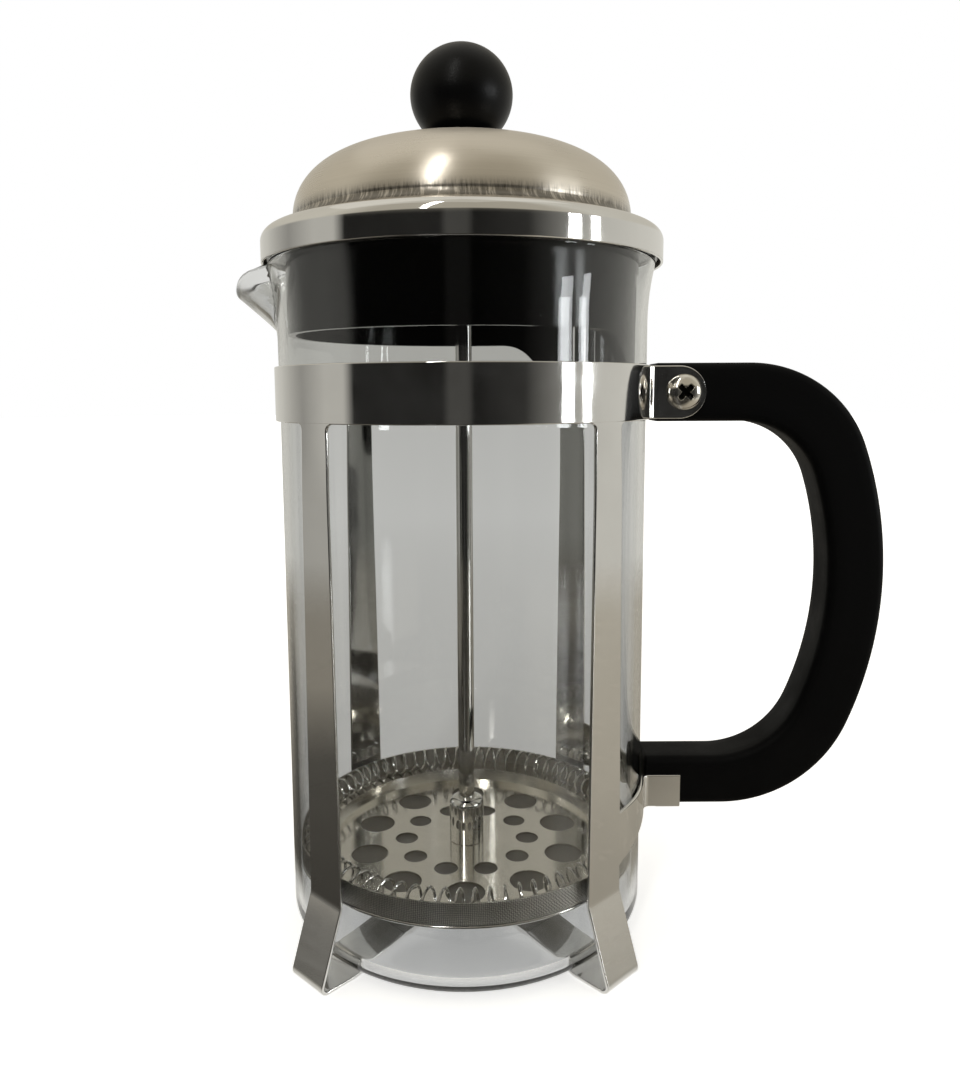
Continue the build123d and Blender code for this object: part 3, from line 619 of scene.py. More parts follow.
def lip_fall(sizes, out):
    """How far the rim lies below its level: a small step under the skirt, then a quarter oval to the tip."""
    small = 1.0 * MM
    step_in, step_out = (sizes.radius + sizes.flare + past for past in (0.15 * MM, 1.0 * MM))
    share = np.clip((out - step_out) / (sizes.radius + sizes.lip_reach - step_out), 0, 1)
    stepped = small * ease((out - step_in) / (step_out - step_in))
    return stepped + (sizes.lip_drop - small) * (1 - (1 - share**1.9) ** 0.5)


def rim_height(sizes, turn, inner):
    """Height where height plus the lip's fall at that radius is the rim's level, found by halving."""
    low = np.full_like(turn, sizes.rim - 1.6 * sizes.lip_drop)
    high = np.full_like(turn, sizes.rim + 0.1 * MM)
    for _ in range(40):
        z = (low + high) / 2
        over = z + lip_fall(sizes, wall_radius(sizes, turn, z, inner)) > sizes.rim
        low, high = np.where(over, low, z), np.where(over, z, high)
    return (low + high) / 2


def base_profile(sizes, inner):
    """Half section of the base from axis to wall: raised middle, slope down to the ring, round corner."""
    low = sizes.foot + (sizes.base if inner else 0.0)
    radius = sizes.radius - (sizes.wall if inner else 0.0)
    corner = sizes.corner - (sizes.wall / 2 if inner else 0.0)
    ring = radius - corner
    out = np.concatenate([np.linspace(0, sizes.punt - 2 * MM, 8), np.linspace(sizes.punt - MM, ring, 24)])
    rise = sizes.punt_rise * (1 - ease((out - sizes.punt) / (ring - sizes.punt)))
    return route(np.stack([out, low + rise], 1), arc((ring, low + corner), corner, -90, 0, 14))


def beaker_grid(sizes, around=384):
    """The whole glass as one closed skin: outer base, outer wall, round rim, inner wall and inner base."""
    a = np.linspace(0, 2 * np.pi, around, endpoint=False)
    turn = a - np.pi
    turning = np.stack([np.cos(a), np.sin(a)], -1)
    lift = 0.75 * MM

    def wall_rows(inner):
        low = base_profile(sizes, inner)
        start = low[-1, 1]
        shares = np.concatenate([np.linspace(0, 0.86, 16), np.linspace(0.87, 1, 44)])[1:, None]
        z = start + shares * (rim_height(sizes, turn, inner) - lift - start)
        out = wall_radius(sizes, turn[None, :] + 0 * z, z, inner)
        return np.concatenate([low[:, :1] + 0 * a, out]), np.concatenate([low[:, 1:] + 0 * a, z])

    outer_out, outer_z = wall_rows(False)
    inner_out, inner_z = wall_rows(True)
    b = np.radians(np.linspace(0, 180, 9))[1:-1, None]
    rim_out = (outer_out[-1] + inner_out[-1]) / 2 + (outer_out[-1] - inner_out[-1]) / 2 * np.cos(b)
    rim_z = (outer_z[-1] + inner_z[-1]) / 2 + (outer_z[-1] - inner_z[-1]) / 2 * np.cos(b) + lift * np.sin(b)
    out = np.concatenate([outer_out, rim_out, inner_out[::-1]])
    z = np.concatenate([outer_z, rim_z, inner_z[::-1]])
    return np.concatenate([out[..., None] * turning, z[..., None]], -1)


class PRESS_OT_beaker(bpy.types.Operator):
    """Blow the glass beaker with its raised base, flared rim and pouring lip"""

    bl_idname = "press.beaker"
    bl_label = "Beaker"

    def execute(self, context):
        sizes, finishes = context.scene.press_beaker, context.scene.press_finishes
        piece = surface("glass_beaker", beaker_grid(sizes), sharp=70)
        place(piece, "beaker", "glass", [clear_glass("clear_glass", finishes.glass)], "beaker")
        return {"FINISHED"}


# Strap frame


def leg_grid(strap, beaker, angle, band_foot):
    """Strap section carried down the glass, out at the kink, round the foot and back under the base."""
    half = strap.thickness / 2
    ring = beaker.radius - beaker.corner
    slope = beaker.punt_rise / (ring - beaker.punt)
    under = half * math.hypot(1, slope)
    seat = beaker.foot + beaker.punt_rise - 0.3 * MM
    rest = beaker.punt + (seat - under - half) / slope
    corners = [
        (strap.radius, band_foot + 0.5 * MM),
        (strap.radius, strap.kink),
        (strap.radius + strap.spread, half),
        (rest, half),
        (beaker.punt, seat - under),
    ]
    path = evenly(rounded(corners, [strap.kink_bend, strap.foot_bend, 10 * MM], 40), SPACING)
    facing = left_of(headings(path))
    web_foot = band_foot - strap.leg_web
    folded = np.arange(len(path)) > np.argmax(path[:, 0])
    down_leg = np.where(folded, 1.0, np.clip((web_foot - path[:, 1]) / (web_foot - strap.kink), 0, 1))
    web = np.clip(path[:, 1] - band_foot + strap.leg_web, 0, strap.leg_web)
    web = strap.leg_web - np.sqrt(strap.leg_web**2 - web**2)
    half_width = (strap.leg_top + (strap.leg_foot - strap.leg_top) * down_leg) / 2 + np.where(folded, 0, web)
    depth, share, past = strap_section(strap.thickness - 0.02 * MM, strap.edge)
    across = share * (half_width[:, None] - strap.edge) + past
    curl = strap.radius - np.sqrt(strap.radius**2 - across**2)
    curl *= np.where(folded, 0, ease((path[:, 1] - band_foot + 20 * MM) / (18 * MM)))[:, None]
    out = path[:, :1] + depth * facing[:, :1] - curl
    up = path[:, 1:] + depth * facing[:, 1:]
    c, s = math.cos(angle), math.sin(angle)
    return np.stack([out * c - across * s, out * s + across * c, up], -1)


def swept_strap(strap, plan, low, high):
    """Strap section carried along a plan route, standing upright between a lower and an upper edge line."""
    facing = left_of(headings(plan))
    depth, share, past = strap_section(strap.thickness, strap.edge, across=5)
    half = np.maximum((high - low) / 2, strap.edge)[:, None]
    up = ((high + low) / 2)[:, None] + share * (half - strap.edge) + past
    flat = plan[:, None, :] + depth[None, :, None] * facing[:, None, :]
    return np.concatenate([flat, up[..., None]], -1)


def ear_bend(strap, aside):
    """Where a bend leaves the round of the strap, and the bend's middle, on the +Y side."""
    far = strap.radius + strap.ear_bend
    middle = np.array([math.sqrt(far**2 - (aside + strap.ear_bend) ** 2), aside + strap.ear_bend])
    on_round = middle * strap.radius / far
    return on_round, middle


def ear_plan(strap, aside, tip, from_angle, spacing=SPACING):
    """Plan of a strap from an angle round the glass to its turned-out end, on the +Y side."""
    on_round, middle = ear_bend(strap, aside)
    end_angle = math.degrees(math.atan2(on_round[1], on_round[0]))
    start = math.degrees(math.atan2(on_round[1] - middle[1], on_round[0] - middle[0]))
    plan = route(
        arc((0, 0), strap.radius, from_angle, end_angle, 400),
        arc(middle, strap.ear_bend, start + 360, 270, 24),
        line((middle[0], aside), (tip, aside), 40),
    )
    return evenly(plan, spacing)


def band_grid(strap, aside, tip, low, high):
    """Band from one ear's tip round the glass to the other's, its ends half circles in side view."""
    half_plan = ear_plan(strap, aside, tip, 180)
    plan = route(half_plan[::-1], half_plan[1:] * [1, -1])
    along = travelled(plan)
    from_tip = np.minimum(along, along[-1] - along)
    half = (high - low) / 2
    reach = np.clip(half - from_tip, 0, half)
    tall = np.sqrt(half**2 - reach**2)
    middle = (high + low) / 2
    return swept_strap(strap, plan, middle - tall, middle + tall)


def bracket_grid(strap, aside, tip, edges, from_angle, side):
    """Arm from a leg to the handle's lower end, its two edges straight between the given points."""
    plan = ear_plan(strap, aside, tip, from_angle, 0.3 * MM)
    lines = [np.interp(plan[:, 0], edges[:, 0], edges[:, k]) for k in (1, 2)]
    soft = np.hanning(15) / np.hanning(15).sum()
    low, high = (np.convolve(np.pad(v, 7, mode="edge"), soft, "valid") for v in lines)
    return swept_strap(strap, plan * [1, side], low, high)


def stirrup_grid(strap, aside, tip, low):
    """Strap section carried across under the handle's lower end, from arm to arm."""
    depth, share, past = strap_section(strap.thickness, strap.edge, across=5)
    half = 3.4 * MM
    run = np.array([-1, 1]) * (aside + strap.thickness / 2 - 0.03 * MM)
    along = tip - half - 0.02 * MM + share * (half - strap.edge) + past
    up = low + strap.thickness / 2 + depth
    return np.stack(np.broadcast_arrays(along[None, :], run[:, None], up[None, :]), -1)


class PRESS_OT_strap_frame(bpy.types.Operator):
    """Bend the polished strap: the band with its ears, four legs, the lower bracket and the hidden cross"""

    bl_idname = "press.strap_frame"
    bl_label = "Strap Frame"

    def execute(self, context):
        scene = context.scene
        strap, beaker, handle = scene.press_strap, scene.press_beaker, scene.press_handle
        bright = polished_steel("polished_strap", scene.press_finishes.polished)
        band_low, band_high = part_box("frame_band")
        bracket_low, bracket_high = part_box("lower_bracket")
        aside = handle.thickness / 2 + PLAY + strap.thickness / 2
        grids = {"band": ("frame_band", band_grid(strap, aside, band_high.x, band_low.z, band_high.z))}
        for node, turn in {
            "leg_front_left": math.pi + strap.leg_angle,
            "leg_front_right": -strap.leg_angle,
            "leg_back_left": math.pi - strap.leg_angle,
            "leg_back_right": strap.leg_angle,
        }.items():
            grids["strap_" + node] = node, leg_grid(strap, beaker, turn, band_low.z)
        tab_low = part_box("handle")[0].z
        tab_high = tab_low + 9.2 * MM
        start = strap.leg_angle - math.asin((strap.leg_foot / 2 - 0.1 * MM) / strap.radius)
        edges = np.array([
            [strap.radius * math.cos(start), bracket_low.z + 0.4 * MM, bracket_high.z - 0.2 * MM],
            [strap.radius + strap.thickness / 2, tab_low, tab_high],
            [bracket_high.x, tab_low, tab_high],
        ])
        for side, name in ((-1, "bracket_front"), (1, "bracket_back")):
            arm = bracket_grid(strap, aside, bracket_high.x, edges, math.degrees(start), side)
            grids[name] = "lower_bracket", arm
        grids["bracket_stirrup"] = "lower_bracket", stirrup_grid(strap, aside, bracket_high.x, tab_low)
        for name, (node, grid) in grids.items():
            place(surface(name, grid, capped=True), "frame", "polished_steel", [bright], node)
        dress("base_cross", bright)
        return {"FINISHED"}


# Handle


def handle_edge(bow, middle, ends, arm_z, corner_radii, counts):
    """One edge of the handle in its plane: top arm, corner, bow, corner and lower arm, each an even run."""
    corners = []
    for z, radius, sign in zip(arm_z, corner_radii, (1, -1)):
        centre_z = z - sign * radius
        centre_x = middle[0] + math.sqrt((bow - radius) ** 2 - (centre_z - middle[1]) ** 2)
        lean = math.degrees(math.atan2(centre_z - middle[1], centre_x - middle[0]))
        corners.append((centre_x, centre_z, radius, lean))
    top, low = corners
    return np.concatenate([
        line((ends[0], arm_z[0]), (top[0], arm_z[0]), counts[0]),
        arc(top[:2], top[2], 90, top[3], counts[1]),
        arc(middle, bow, top[3], low[3], counts[2]),
        arc(low[:2], low[2], low[3], -90, counts[1]),
        line((low[0], arm_z[1]), (ends[1], arm_z[1]), counts[0]),
    ])


def round_section(steps=6, across=5):
    """Rounded rectangle of unit half sides, a corner and side turned four times: flat part, then rounding."""
    t = np.radians(np.linspace(0, 90, steps))
    q = np.linspace(-1, 1, across)[1:-1]
    quarter = np.stack([
        np.append(np.ones(steps), -q),
        np.append(np.ones(steps), 1 + 0 * q),
        np.append(np.cos(t), 0 * q),
        np.append(np.sin(t), 1 + 0 * q),
    ])
    quarters = [quarter]
    for _ in range(3):
        a, b, c, d = quarters[-1]
        quarters.append(np.stack([-b, a, -d, c]))
    return np.concatenate(quarters, 1)


def handle_grid(handle, outer_x, top_end, low_end, mid_top, mid_low, notch):
    """Rounded section carried between the handle's edges, drawn in at its ends, stepped over the stirrup."""
    middle = (outer_x - handle.bow, handle.bow_height)
    counts = (60, 48, 90)
    ends = (top_end, low_end)
    top_half, low_half = handle.top_arm / 2, handle.low_arm / 2
    arms = (mid_top + top_half, mid_low - low_half)
    outer = handle_edge(handle.bow, middle, ends, arms, (handle.top_outer, handle.low_outer), counts)
    bow, arms = handle.bow - handle.grip, (mid_top - top_half, mid_low + low_half)
    inner = handle_edge(bow, middle, ends, arms, (handle.top_inner, handle.low_inner), counts)
    row = np.arange(len(outer))
    raised = (row >= len(outer) - counts[0]) & (outer[:, 0] < notch[0])
    outer[:, 1] += np.where(raised, notch[1], 0)
    nearest_end = np.where(row < len(outer) // 2, *ends)
    away = np.minimum(np.abs(outer[:, 0] - nearest_end), handle.end)
    drawn = (handle.end - np.sqrt(handle.end**2 - (handle.end - away) ** 2))[:, None]
    span = outer - inner
    deep = np.linalg.norm(span, axis=1)[:, None]
    along = span / deep
    a, b, c, d = round_section()
    edge = handle.edge
    push = a * (deep / 2 - drawn - edge) + c * edge
    aside = b * (handle.thickness / 2 - drawn - edge) + d * edge
    flat = ((outer + inner) / 2)[:, None, :] + push[..., None] * along[:, None, :]
    return np.stack([flat[..., 0], aside, flat[..., 1]], -1)


def screw_grid(handle, middle, low, high):
    """Screw along Y: a pan head whose height falls with distance, less two crossed slots, then the shank."""
    a = np.linspace(0, 2 * np.pi, 192, endpoint=False)
    out = handle.head * np.sin(np.linspace(0, np.pi / 2, 72))[:, None]
    u, v = out * np.cos(a + np.pi / 4), out * np.sin(a + np.pi / 4)
    dome = handle.head_height * (1 - (out / handle.head) ** 2.6) ** (1 / 2.2)
    slots = [
        ease((handle.cross_width / 2 - np.abs(q)) / (0.3 * MM) + 0.5)
        * ease((handle.cross_length / 2 - np.abs(p)) / (0.9 * MM))
        for p, q in ((u, v), (v, u))
    ]
    raised = np.maximum(dome - handle.cross_depth * np.maximum(*slots), 0)
    seat, bevel = low + handle.head_height, 0.5 * MM
    tail = np.array([
        (handle.shank, seat), (handle.shank, high - bevel), (handle.shank - bevel, high), (0, high),
    ])
    reach = np.concatenate([out + 0 * a, tail[:, :1] + 0 * a])
    along = np.concatenate([seat - raised, tail[:, 1:] + 0 * a])
    return np.stack([middle[0] + reach * np.cos(a), along, middle[1] + reach * np.sin(a)], -1)


class PRESS_OT_handle(bpy.types.Operator):
    """Mould the black handle, turn its cross-head screw and finish the nut"""

    bl_idname = "press.handle"
    bl_label = "Handle"

    def execute(self, context):
        scene = context.scene
        handle, strap, finishes = scene.press_handle, scene.press_strap, scene.press_finishes
        low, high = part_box("handle")
        screw_low, screw_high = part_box("handle_screw")
        mid_top, mid_low = (screw_low.z + screw_high.z) / 2, low.z + handle.low_arm / 2
        notch = (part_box("lower_bracket")[1].x + PLAY, strap.thickness + PLAY)
        grid = handle_grid(handle, high.x, low.x + 1.25 * MM, low.x, mid_top, mid_low, notch)
        piece = surface("moulded_handle", grid, capped=True, sharp=50)
        place(piece, "frame", "black_matte", [moulded_black("moulded_handle", finishes.moulded)], "handle")
        plate = (finishes.nickel, 0.24, (500, 500, 500), 0.4)
        nickel = polished_steel("nickel_plate", *plate)
        middle = ((screw_low.x + screw_high.x) / 2, mid_top)
        screw = surface("pan_head_screw", screw_grid(handle, middle, screw_low.y, screw_high.y), sharp=50)
        # painted shade in the screw's cross recess
        recess = (middle[0], screw_low.y, middle[1], handle.cross_length / 2)
        plated = polished_steel("nickel_screw", *plate, recess)
        place(screw, "frame", "fastener_steel", [plated], "handle_screw")
        dress("handle_nut", nickel)
        return {"FINISHED"}


# Lid


def lid_profile(lid, skirt_foot):
    """Half section of the lid's outside from the skirt over the shoulder, ledge and hollow to the crown."""
    skirt_top = skirt_foot + lid.skirt_height
    foot = skirt_top + lid.dome_foot
    skirt = line((lid.skirt, skirt_foot + 0.3 * MM), (lid.skirt, skirt_top), 6)
    shoulder = arc((lid.skirt - lid.shoulder, skirt_top), lid.shoulder, 0, 76, 16)
    t = np.linspace(np.pi / 2, 0, 90)
    out, up = np.sin(t) ** (2 / lid.side_power), np.cos(t) ** (2 / lid.top_power)
    dome = np.stack([lid.dome * out, foot + lid.dome_rise * up], 1)
    dome = dome[dome[:, 0] > lid.bush_hole + 0.2 * MM]
    turn_in = rounded([shoulder[-1], (lid.dome + 0.35 * MM, foot - 1.25 * MM), dome[20]], [lid.hollow], 20)
    above = dome[dome[:, 1] > turn_in[-2, 1] + 0.05 * MM]
    crown = (lid.bush_hole, dome[-1, 1])
    return route(skirt, shoulder, turn_in[:-1], above, [crown]), len(shoulder) + 4


class PRESS_OT_lid(bpy.types.Operator):
    """Press the lid with its satin dome and polished skirt, and finish the collar and bush inside it"""

    bl_idname = "press.lid"
    bl_label = "Lid"

    def execute(self, context):
        scene = context.scene
        lid, plunger, finishes = scene.press_lid, scene.press_plunger, scene.press_finishes
        skirt_foot, half = foot_of("lid_dome"), lid.sheet / 2
        outside, polished_rows = lid_profile(lid, skirt_foot)
        inside = offset_inwards(outside, -lid.sheet)[::-1]
        hem = arc((lid.skirt - half, skirt_foot + half), half, 180, 360, 8)
        profile = route(hem, outside, inside)
        rows = np.ones(len(profile), int)
        rows[: len(hem) + polished_rows] = 0
        skirt_shine = polished_steel("polished_skirt", finishes.polished, 0.07)
        foot = skirt_foot + lid.skirt_height + lid.dome_foot
        # radial scuff marks and painted shade in the hollow at the dome's foot
        streak_and_shade_band = (foot - MM, foot + 3.2 * MM, lid.dome + 0.9 * MM)
        satin = turned_satin("satin_dome", finishes.satin, streaks_and_crease_shade=streak_and_shade_band)
        piece = surface("lid_pressing", lathe(profile, 320), wrap_rows=True, row_slots=rows, sharp=60)
        place(piece, "lid", "satin_steel", [skirt_shine, satin], "lid_dome")
        gloss = gloss_black("gloss_moulding", finishes.gloss)
        for node in ("lid_collar", "bush_nut"):
            dress(node, gloss)
        low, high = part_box("lid_bush")
        wide, seat, bore = high.x, high.z - 2.2 * MM, plunger.rod + PLAY
        tube, edge = lid.bush_hole - 0.15 * MM, 0.7 * MM
        flange = route(
            [(bore, low.z), (tube, low.z), (tube, seat), (wide - edge, seat)],
            arc((wide - edge, seat + edge), edge, -90, 0, 8),
            arc((wide - edge, high.z - edge), edge, 0, 90, 8),
            [(bore, high.z)],
        )
        bush = surface("bush", lathe(flange, 160), wrap_rows=True, sharp=50)
        place(bush, "lid_bush", "black_gloss", [gloss], "lid_bush")
        return {"FINISHED"}


class PRESS_OT_knob(bpy.types.Operator):
    """Mould the ball knob with its flat foot and finish the insert inside it"""

    bl_idname = "press.knob"
    bl_label = "Knob"

    def execute(self, context):
        lid, finishes = context.scene.press_lid, context.scene.press_finishes
        low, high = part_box("knob")
        middle = high.z - lid.knob_half
        foot_turn = math.asin((middle - low.z) / lid.knob_half)
        t = np.linspace(-foot_turn + 0.05, np.pi / 2, 90)
        ball = np.stack([lid.knob * np.cos(t), middle + lid.knob_half * np.sin(t)], 1)
        ball[-1, 0] = 0.0
        foot = ball[0, 0] - 0.45 * MM
        profile = route([(0, low.z), (foot * 0.5, low.z), (foot, low.z)], ball)
        piece = surface("ball_knob", lathe(profile, 160), sharp=50)
        black = moulded_black("moulded_knob", finishes.moulded, 0.26, 0.38, 0.14)
        place(piece, "plunger", "black_matte", [black], "knob")
        dress("knob_insert", polished_steel("brass_insert", finishes.brass, 0.3))
        return {"FINISHED"}


# Plunger


class PRESS_OT_rod(bpy.types.Operator):
    """Turn the polished rod and the sleeve that clamps the filter on it"""

    bl_idname = "press.rod"
    bl_label = "Rod and Sleeve"

    def execute(self, context):
        sizes, finishes = context.scene.press_plunger, context.scene.press_finishes
        bright = polished_steel("polished_rod", finishes.polished, 0.09, (1500, 1500, 4000))
        low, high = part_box("plunger_rod")
        nose = 0.46 * MM
        profile = route(
            [(0, low.z), (sizes.rod - nose, low.z), (sizes.rod, low.z + nose)],
            line((sizes.rod, low.z + nose), (sizes.rod, high.z - nose), 40),
            [(sizes.rod - nose, high.z), (0, high.z)],
        )
        place(surface("rod", lathe(profile, 96)), "plunger", "polished_steel", [bright], "plunger_rod")
        low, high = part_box("rod_sleeve")
        bore, edge = sizes.rod + PLAY, 2.2 * MM
        profile = route(
            [(bore, low.z), (sizes.sleeve - 0.2 * MM, low.z), (sizes.sleeve, low.z + 0.2 * MM)],
            arc((sizes.sleeve - edge, high.z - edge), edge, 0, 90, 12),
            [(bore, high.z)],
        )
        piece = surface("sleeve", lathe(profile, 96), wrap_rows=True)
        place(piece, "plunger", "polished_steel", [bright], "rod_sleeve")
        return {"FINISHED"}


def coil_grid(sizes, height, around=9, per_turn=26):
    """Round wire carried along a helix that is itself bent into a ring, open between its two ends."""
    turns = np.linspace(0, sizes.turns, sizes.turns * per_turn + 1)
    coil, ring = 2 * np.pi * turns, (2 * np.pi - sizes.opening) * turns / sizes.turns
    out_way = np.stack([np.cos(ring), np.sin(ring), 0 * ring], 1)
    up_way = np.array([0.0, 0.0, 1.0])
    facing = np.cos(coil)[:, None] * out_way + np.sin(coil)[:, None] * up_way
    middle = sizes.coil_ring * out_way + height * up_way + sizes.coil * facing
    side = unit(np.cross(headings(middle), facing))
    b = np.linspace(0, 2 * np.pi, around, endpoint=False)
    ringed = np.cos(b)[None, :, None] * facing[:, None, :] + np.sin(b)[None, :, None] * side[:, None, :]
    return middle[:, None, :] + sizes.wire * ringed


class PRESS_OT_filter(bpy.types.Operator):
    """Build the filter: woven mesh, coil spring, perforated plate and the plate with a boss under it"""

    bl_idname = "press.filter"
    bl_label = "Filter"

    def execute(self, context):
        sizes, finishes = context.scene.press_plunger, context.scene.press_finishes
        dress("filter_plate", turned_satin("turned_plate", finishes.plate, 0.1, 0.16, 1800, 0.3, 0.02))
        dress("cross_plate", polished_steel("pressed_cross", finishes.polished, 0.14))
        low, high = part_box("filter_mesh")
        edge, t, bore = sizes.mesh_edge, sizes.mesh_sheet, sizes.rod + PLAY
        dish, wall = edge - 7.3 * MM, edge - 6.5 * MM
        shelf = low.z + t + 3.3 * MM
        profile = route(
            [(bore, low.z), (dish, low.z), (dish + t, low.z), (wall + t, shelf - t)],
            [(edge - 0.4 * MM, shelf - t), (edge, shelf)],
            line((edge, shelf), (edge, high.z - t / 2), 5),
            arc((edge - t / 2, high.z - t / 2), t / 2, 0, 180, 7),
            [(edge - t, shelf), (wall, shelf), (dish, low.z + t), (bore, low.z + t)],
        )
        rows = (profile[:, 0] > dish - MM).astype(int)
        rows[-2:] = 0
        flat = woven_wire("woven_floor", scaled(finishes.weave, 0.75), False, 0.0005)
        upright = woven_wire("woven_wall", finishes.weave, True, 0.0009)
        piece = surface("woven_mesh", lathe(profile, 320), wrap_rows=True, row_slots=rows)
        place(piece, "plunger", "woven_mesh", [flat, upright], "filter_mesh")
        low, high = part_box("filter_spring")
        wire = polished_steel("drawn_wire", finishes.wire, 0.2, (2600, 2600, 2600))
        spring = surface("coil_spring", coil_grid(sizes, (low.z + high.z) / 2), capped=True)
        place(spring, "plunger", "spring_wire", [wire], "filter_spring")
        return {"FINISHED"}


# Stage


def soft_light(name, place_at, target, size, power, tint=(1, 1, 1)):
    """A rectangular studio light that faces a target."""
    light = bpy.data.lights.new(name, "AREA")
    light.shape = "RECTANGLE"
    light.size, light.size_y = size
    light.energy, light.color = power, tint
    lamp = bpy.data.objects.new(name, light)
    bpy.context.scene.collection.objects.link(lamp)
    lamp.location = place_at
    lamp.rotation_euler = (Vector(target) - Vector(place_at)).to_track_quat("-Z", "Y").to_euler()


def straight_sight(tree):
    """1 for what is seen directly or through the glass alone, 0 in reflections and in scattered light."""
    rays = step(tree, "LightPath")
    bounces = math_step(tree, "ADD", rays.outputs["Glossy Depth"], rays.outputs["Diffuse Depth"])
    return math_step(tree, "LESS_THAN", bounces, 0.5)


def behind_glass(tree):
    """Brightness of the white surround: full when seen directly, less through each wall of the glass."""
    deep = step(tree, "LightPath").outputs["Transmission Depth"]
    return spread(tree, deep, 1.0, 0.44, 0.0, 4.0)


def room_ring(tree, heading, stops):
    """Tones all round by heading."""
    ramp = step(tree, "ValToRGB", {0: heading})
    colour_stops(ramp, stops)
    return ramp.outputs["Color"]


def studio_world():
    """White when seen directly; in reflections plain panels: dim in front, pale at the sides and above."""
    world = bpy.data.worlds.new("studio")
    bpy.context.scene.world = world
    world.use_nodes = True
    tree = world.node_tree
    tree.nodes.clear()
    out = tree.nodes.new("ShaderNodeOutputWorld")
    x, y, z = step(tree, "SeparateXYZ", {0: step(tree, "TexCoord").outputs["Generated"]}).outputs
    turn = math_step(tree, "ARCTAN2", x, times(tree, y, -1.0))
    heading = times(tree, turn, 0.5 / math.pi, 0.5)
    panels = (
        (0.0, 0.75), (0.12, 0.6), (0.2, 0.3), (0.26, 0.5), (0.3, 0.5), (0.32, 0.015), (0.47, 0.015),
        (0.48, 0.06), (0.51, 0.06), (0.52, 0.012), (0.6, 0.03), (0.66, 0.2), (0.72, 0.55), (0.82, 0.65),
        (1.0, 0.75),
    )
    sides = room_ring(tree, heading, [(at, scaled((1.0, 0.98, 0.9), tone)) for at, tone in panels])
    upper = room_ring(tree, heading, (
        (0.0, (0.56, 0.53, 0.46)), (0.27, (0.62, 0.59, 0.51)), (0.36, (0.44, 0.41, 0.34)),
        (0.52, (0.41, 0.38, 0.31)), (0.64, (0.44, 0.41, 0.34)), (0.72, (0.62, 0.60, 0.53)),
        (1.0, (0.56, 0.53, 0.46)),
    ))
    ceiling = {"Value": z, "From Min": 0.2, "From Max": 0.34}
    above = step(tree, "MapRange", ceiling, interpolation_type="SMOOTHSTEP").outputs["Result"]
    deep = step(tree, "LightPath").outputs["Transmission Depth"]
    inside = {"Color": tinted(tree, above, sides, upper), "Strength": spread(tree, deep, 1.0, 0.3, 0.0, 8.0)}
    bright = behind_glass(tree)
    surround = {"Color": tinted(tree, bright, (0.97, 0.94, 0.83), (1, 1, 1)), "Strength": bright}
    room, white = (step(tree, "Background", seen).outputs[0] for seen in (inside, surround))
    blend = step(tree, "MixShader", {0: straight_sight(tree), 1: room, 2: white})
    tree.links.new(blend.outputs[0], out.inputs["Surface"])


def pale_floor(tint):
    """Pale floor; in reflections dark at one corner, painted light under the glass and open far out."""
    material, tree, skin, where = finish_tree("pale_floor")
    out = around_axis(tree, where)[1]
    straight, through = straight_sight(tree), behind_glass(tree)
    across, along, _ = step(tree, "SeparateXYZ", {0: where}).outputs
    corner = spread(tree, times(tree, along, 0.8, across), 0, 1, -0.06, 0.03)
    edge = math_step(tree, "MAXIMUM", corner, spread(tree, across, 0.45, 0, -0.26, -0.17))
    cornered = tinted(tree, edge, (0.022, 0.02, 0.018), (0.60, 0.57, 0.52))
    # painted light: the floor under the glass is pale in reflections
    mirrored = tinted(tree, spread(tree, out, 0, 1, 0.056, 0.07), (0.80, 0.80, 0.79), cornered)
    connect(tree, skin, {
        "Base Color": tinted(tree, straight, mirrored, tinted(tree, through, (0, 0, 0), tint)),
        "Roughness": spread(tree, noise(tree, where, 60, 3), 0.2, 0.3),
        "Specular IOR Level": times(tree, straight, -0.35, 0.35),
    })
    far = times(tree, spread(tree, out, 0.62, 0.9, 0.08, 0.8), straight)
    # painted light: the floor under the glass glows a little
    under = spread(tree, out, 0.4, 0.0, 0.056, 0.064)
    lit = math_step(tree, "MAXIMUM", times(tree, far, through), under)
    glow = step(tree, "Emission", {"Color": (1, 1, 1, 1), "Strength": lit}).outputs[0]
    both = step(tree, "AddShader", {0: skin.outputs[0], 1: glow}).outputs[0]
    gone = times(tree, spread(tree, out, 0, 1, 0.4, 0.6), math_step(tree, "SUBTRACT", 1.0, straight))
    clear = step(tree, "BsdfTransparent").outputs[0]
    faded = step(tree, "MixShader", {0: gone, 1: both, 2: clear})
    tree.links.new(faded.outputs[0], tree.nodes["Material Output"].inputs["Surface"])
    return material


def photo_camera():
    """The camera at the photograph's viewing angle."""
    camera = bpy.data.objects.new("photo_camera", bpy.data.cameras.new("photo_camera"))
    bpy.context.scene.collection.objects.link(camera)
    pitch, roll, pan = math.radians(6.9), math.radians(0.29), math.radians(0.06)
    ahead = Vector((math.sin(pan) * math.cos(pitch), math.cos(pan) * math.cos(pitch), -math.sin(pitch)))
    right = Vector((math.cos(pan), -math.sin(pan), 0))
    down = ahead.cross(right)
    across = math.cos(roll) * right + math.sin(roll) * down
    upwards = -(-math.sin(roll) * right + math.cos(roll) * down)
    turned = Matrix((across, upwards, -ahead)).transposed().to_4x4()
    camera.matrix_world = Matrix.Translation((4.1 * MM, -247.0 * MM, 147.52 * MM)) @ turned
    photo_height, focal, shift, sensor = 1084, 888.45, -42, 36.0
    camera.data.sensor_width = sensor
    camera.data.lens = focal / photo_height * sensor
    camera.data.shift_y = shift / photo_height
    camera.data.clip_start = 0.01
    return camera


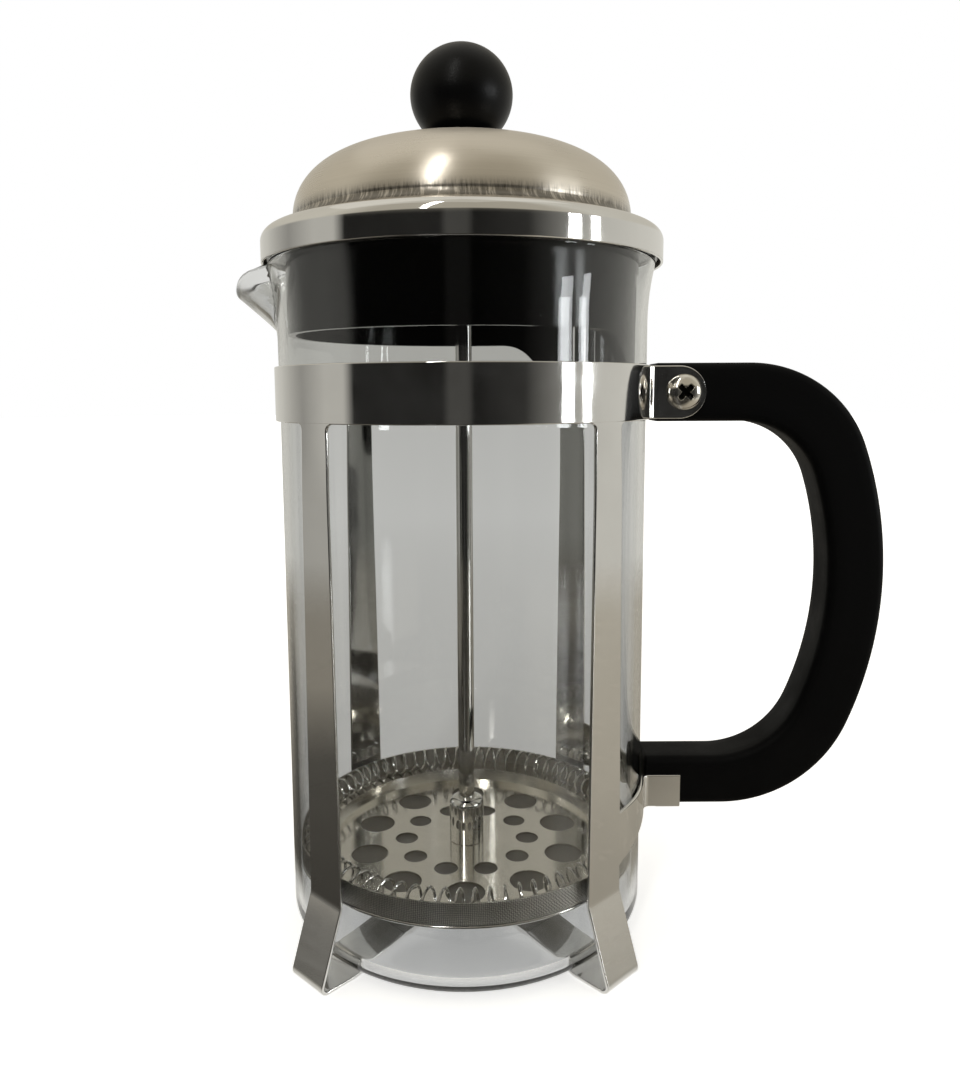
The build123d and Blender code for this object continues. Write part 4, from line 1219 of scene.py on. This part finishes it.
class PRESS_OT_stage(bpy.types.Operator):
    """Set the pale floor, the soft lights and the camera"""

    bl_idname = "press.stage"
    bl_label = "Stage"

    def execute(self, context):
        studio_world()
        floor = surface("floor", lathe([(0, 0), (0.4, 0), (1.2, 0), (6.0, 0)], 64), sharp=60)
        if floor.data.polygons[0].normal.z < 0:
            floor.data.flip_normals()
        floor.data.materials.append(pale_floor(context.scene.press_finishes.floor))
        middle, level = (0.02, 0.0, 0.12), (0.02, 0.0, 0.28)
        cool = (0.96, 0.985, 1)
        soft_light("overhead", (-0.2, 0.1, 1.5), middle, (1.6, 1.6), 1.1)
        soft_light("front_strip", (-0.39, -1.13, 1.2), middle, (0.09, 1.4), 4.6, (1, 0.99, 0.96))
        soft_light("window_near", (1.13, -0.60, 0.28), level, (0.17, 0.39), 1.9, cool)
        soft_light("window_far", (1.24, -0.32, 0.28), level, (0.12, 0.39), 1.4, cool)
        context.scene.camera = photo_camera()
        context.scene.view_settings.view_transform = "Standard"
        return {"FINISHED"}


class PRESS_PT_panel(bpy.types.Panel):
    """Sidebar panel with the press's pieces"""

    bl_label = "Press"
    bl_idname = "PRESS_PT_panel"
    bl_space_type = "VIEW_3D"
    bl_region_type = "UI"
    bl_category = "Press"

    def draw(self, context):
        for operator in PIECES:
            self.layout.operator(operator.bl_idname)


GROUPS = {
    "press_beaker": PressBeakerSizes,
    "press_strap": PressStrapSizes,
    "press_handle": PressHandleSizes,
    "press_lid": PressLidSizes,
    "press_plunger": PressPlungerSizes,
    "press_finishes": PressFinishes,
}
PIECES = (
    PRESS_OT_beaker,
    PRESS_OT_strap_frame,
    PRESS_OT_handle,
    PRESS_OT_lid,
    PRESS_OT_knob,
    PRESS_OT_rod,
    PRESS_OT_filter,
    PRESS_OT_stage,
)


def register():
    """Register the sizes, the operators and the panel."""
    for name, group in GROUPS.items():
        bpy.utils.register_class(group)
        setattr(bpy.types.Scene, name, PointerProperty(type=group))
    for item in (*PIECES, PRESS_PT_panel):
        bpy.utils.register_class(item)


def unregister():
    """Remove what register added."""
    for item in (PRESS_PT_panel, *reversed(PIECES)):
        bpy.utils.unregister_class(item)
    for name, group in reversed(GROUPS.items()):
        delattr(bpy.types.Scene, name)
        bpy.utils.unregister_class(group)


def main():
    register()
    bpy.ops.press.beaker()
    bpy.ops.press.strap_frame()
    bpy.ops.press.handle()
    bpy.ops.press.lid()
    bpy.ops.press.knob()
    bpy.ops.press.rod()
    bpy.ops.press.filter()
    bpy.ops.press.stage()


if __name__ == "__main__":
    main()
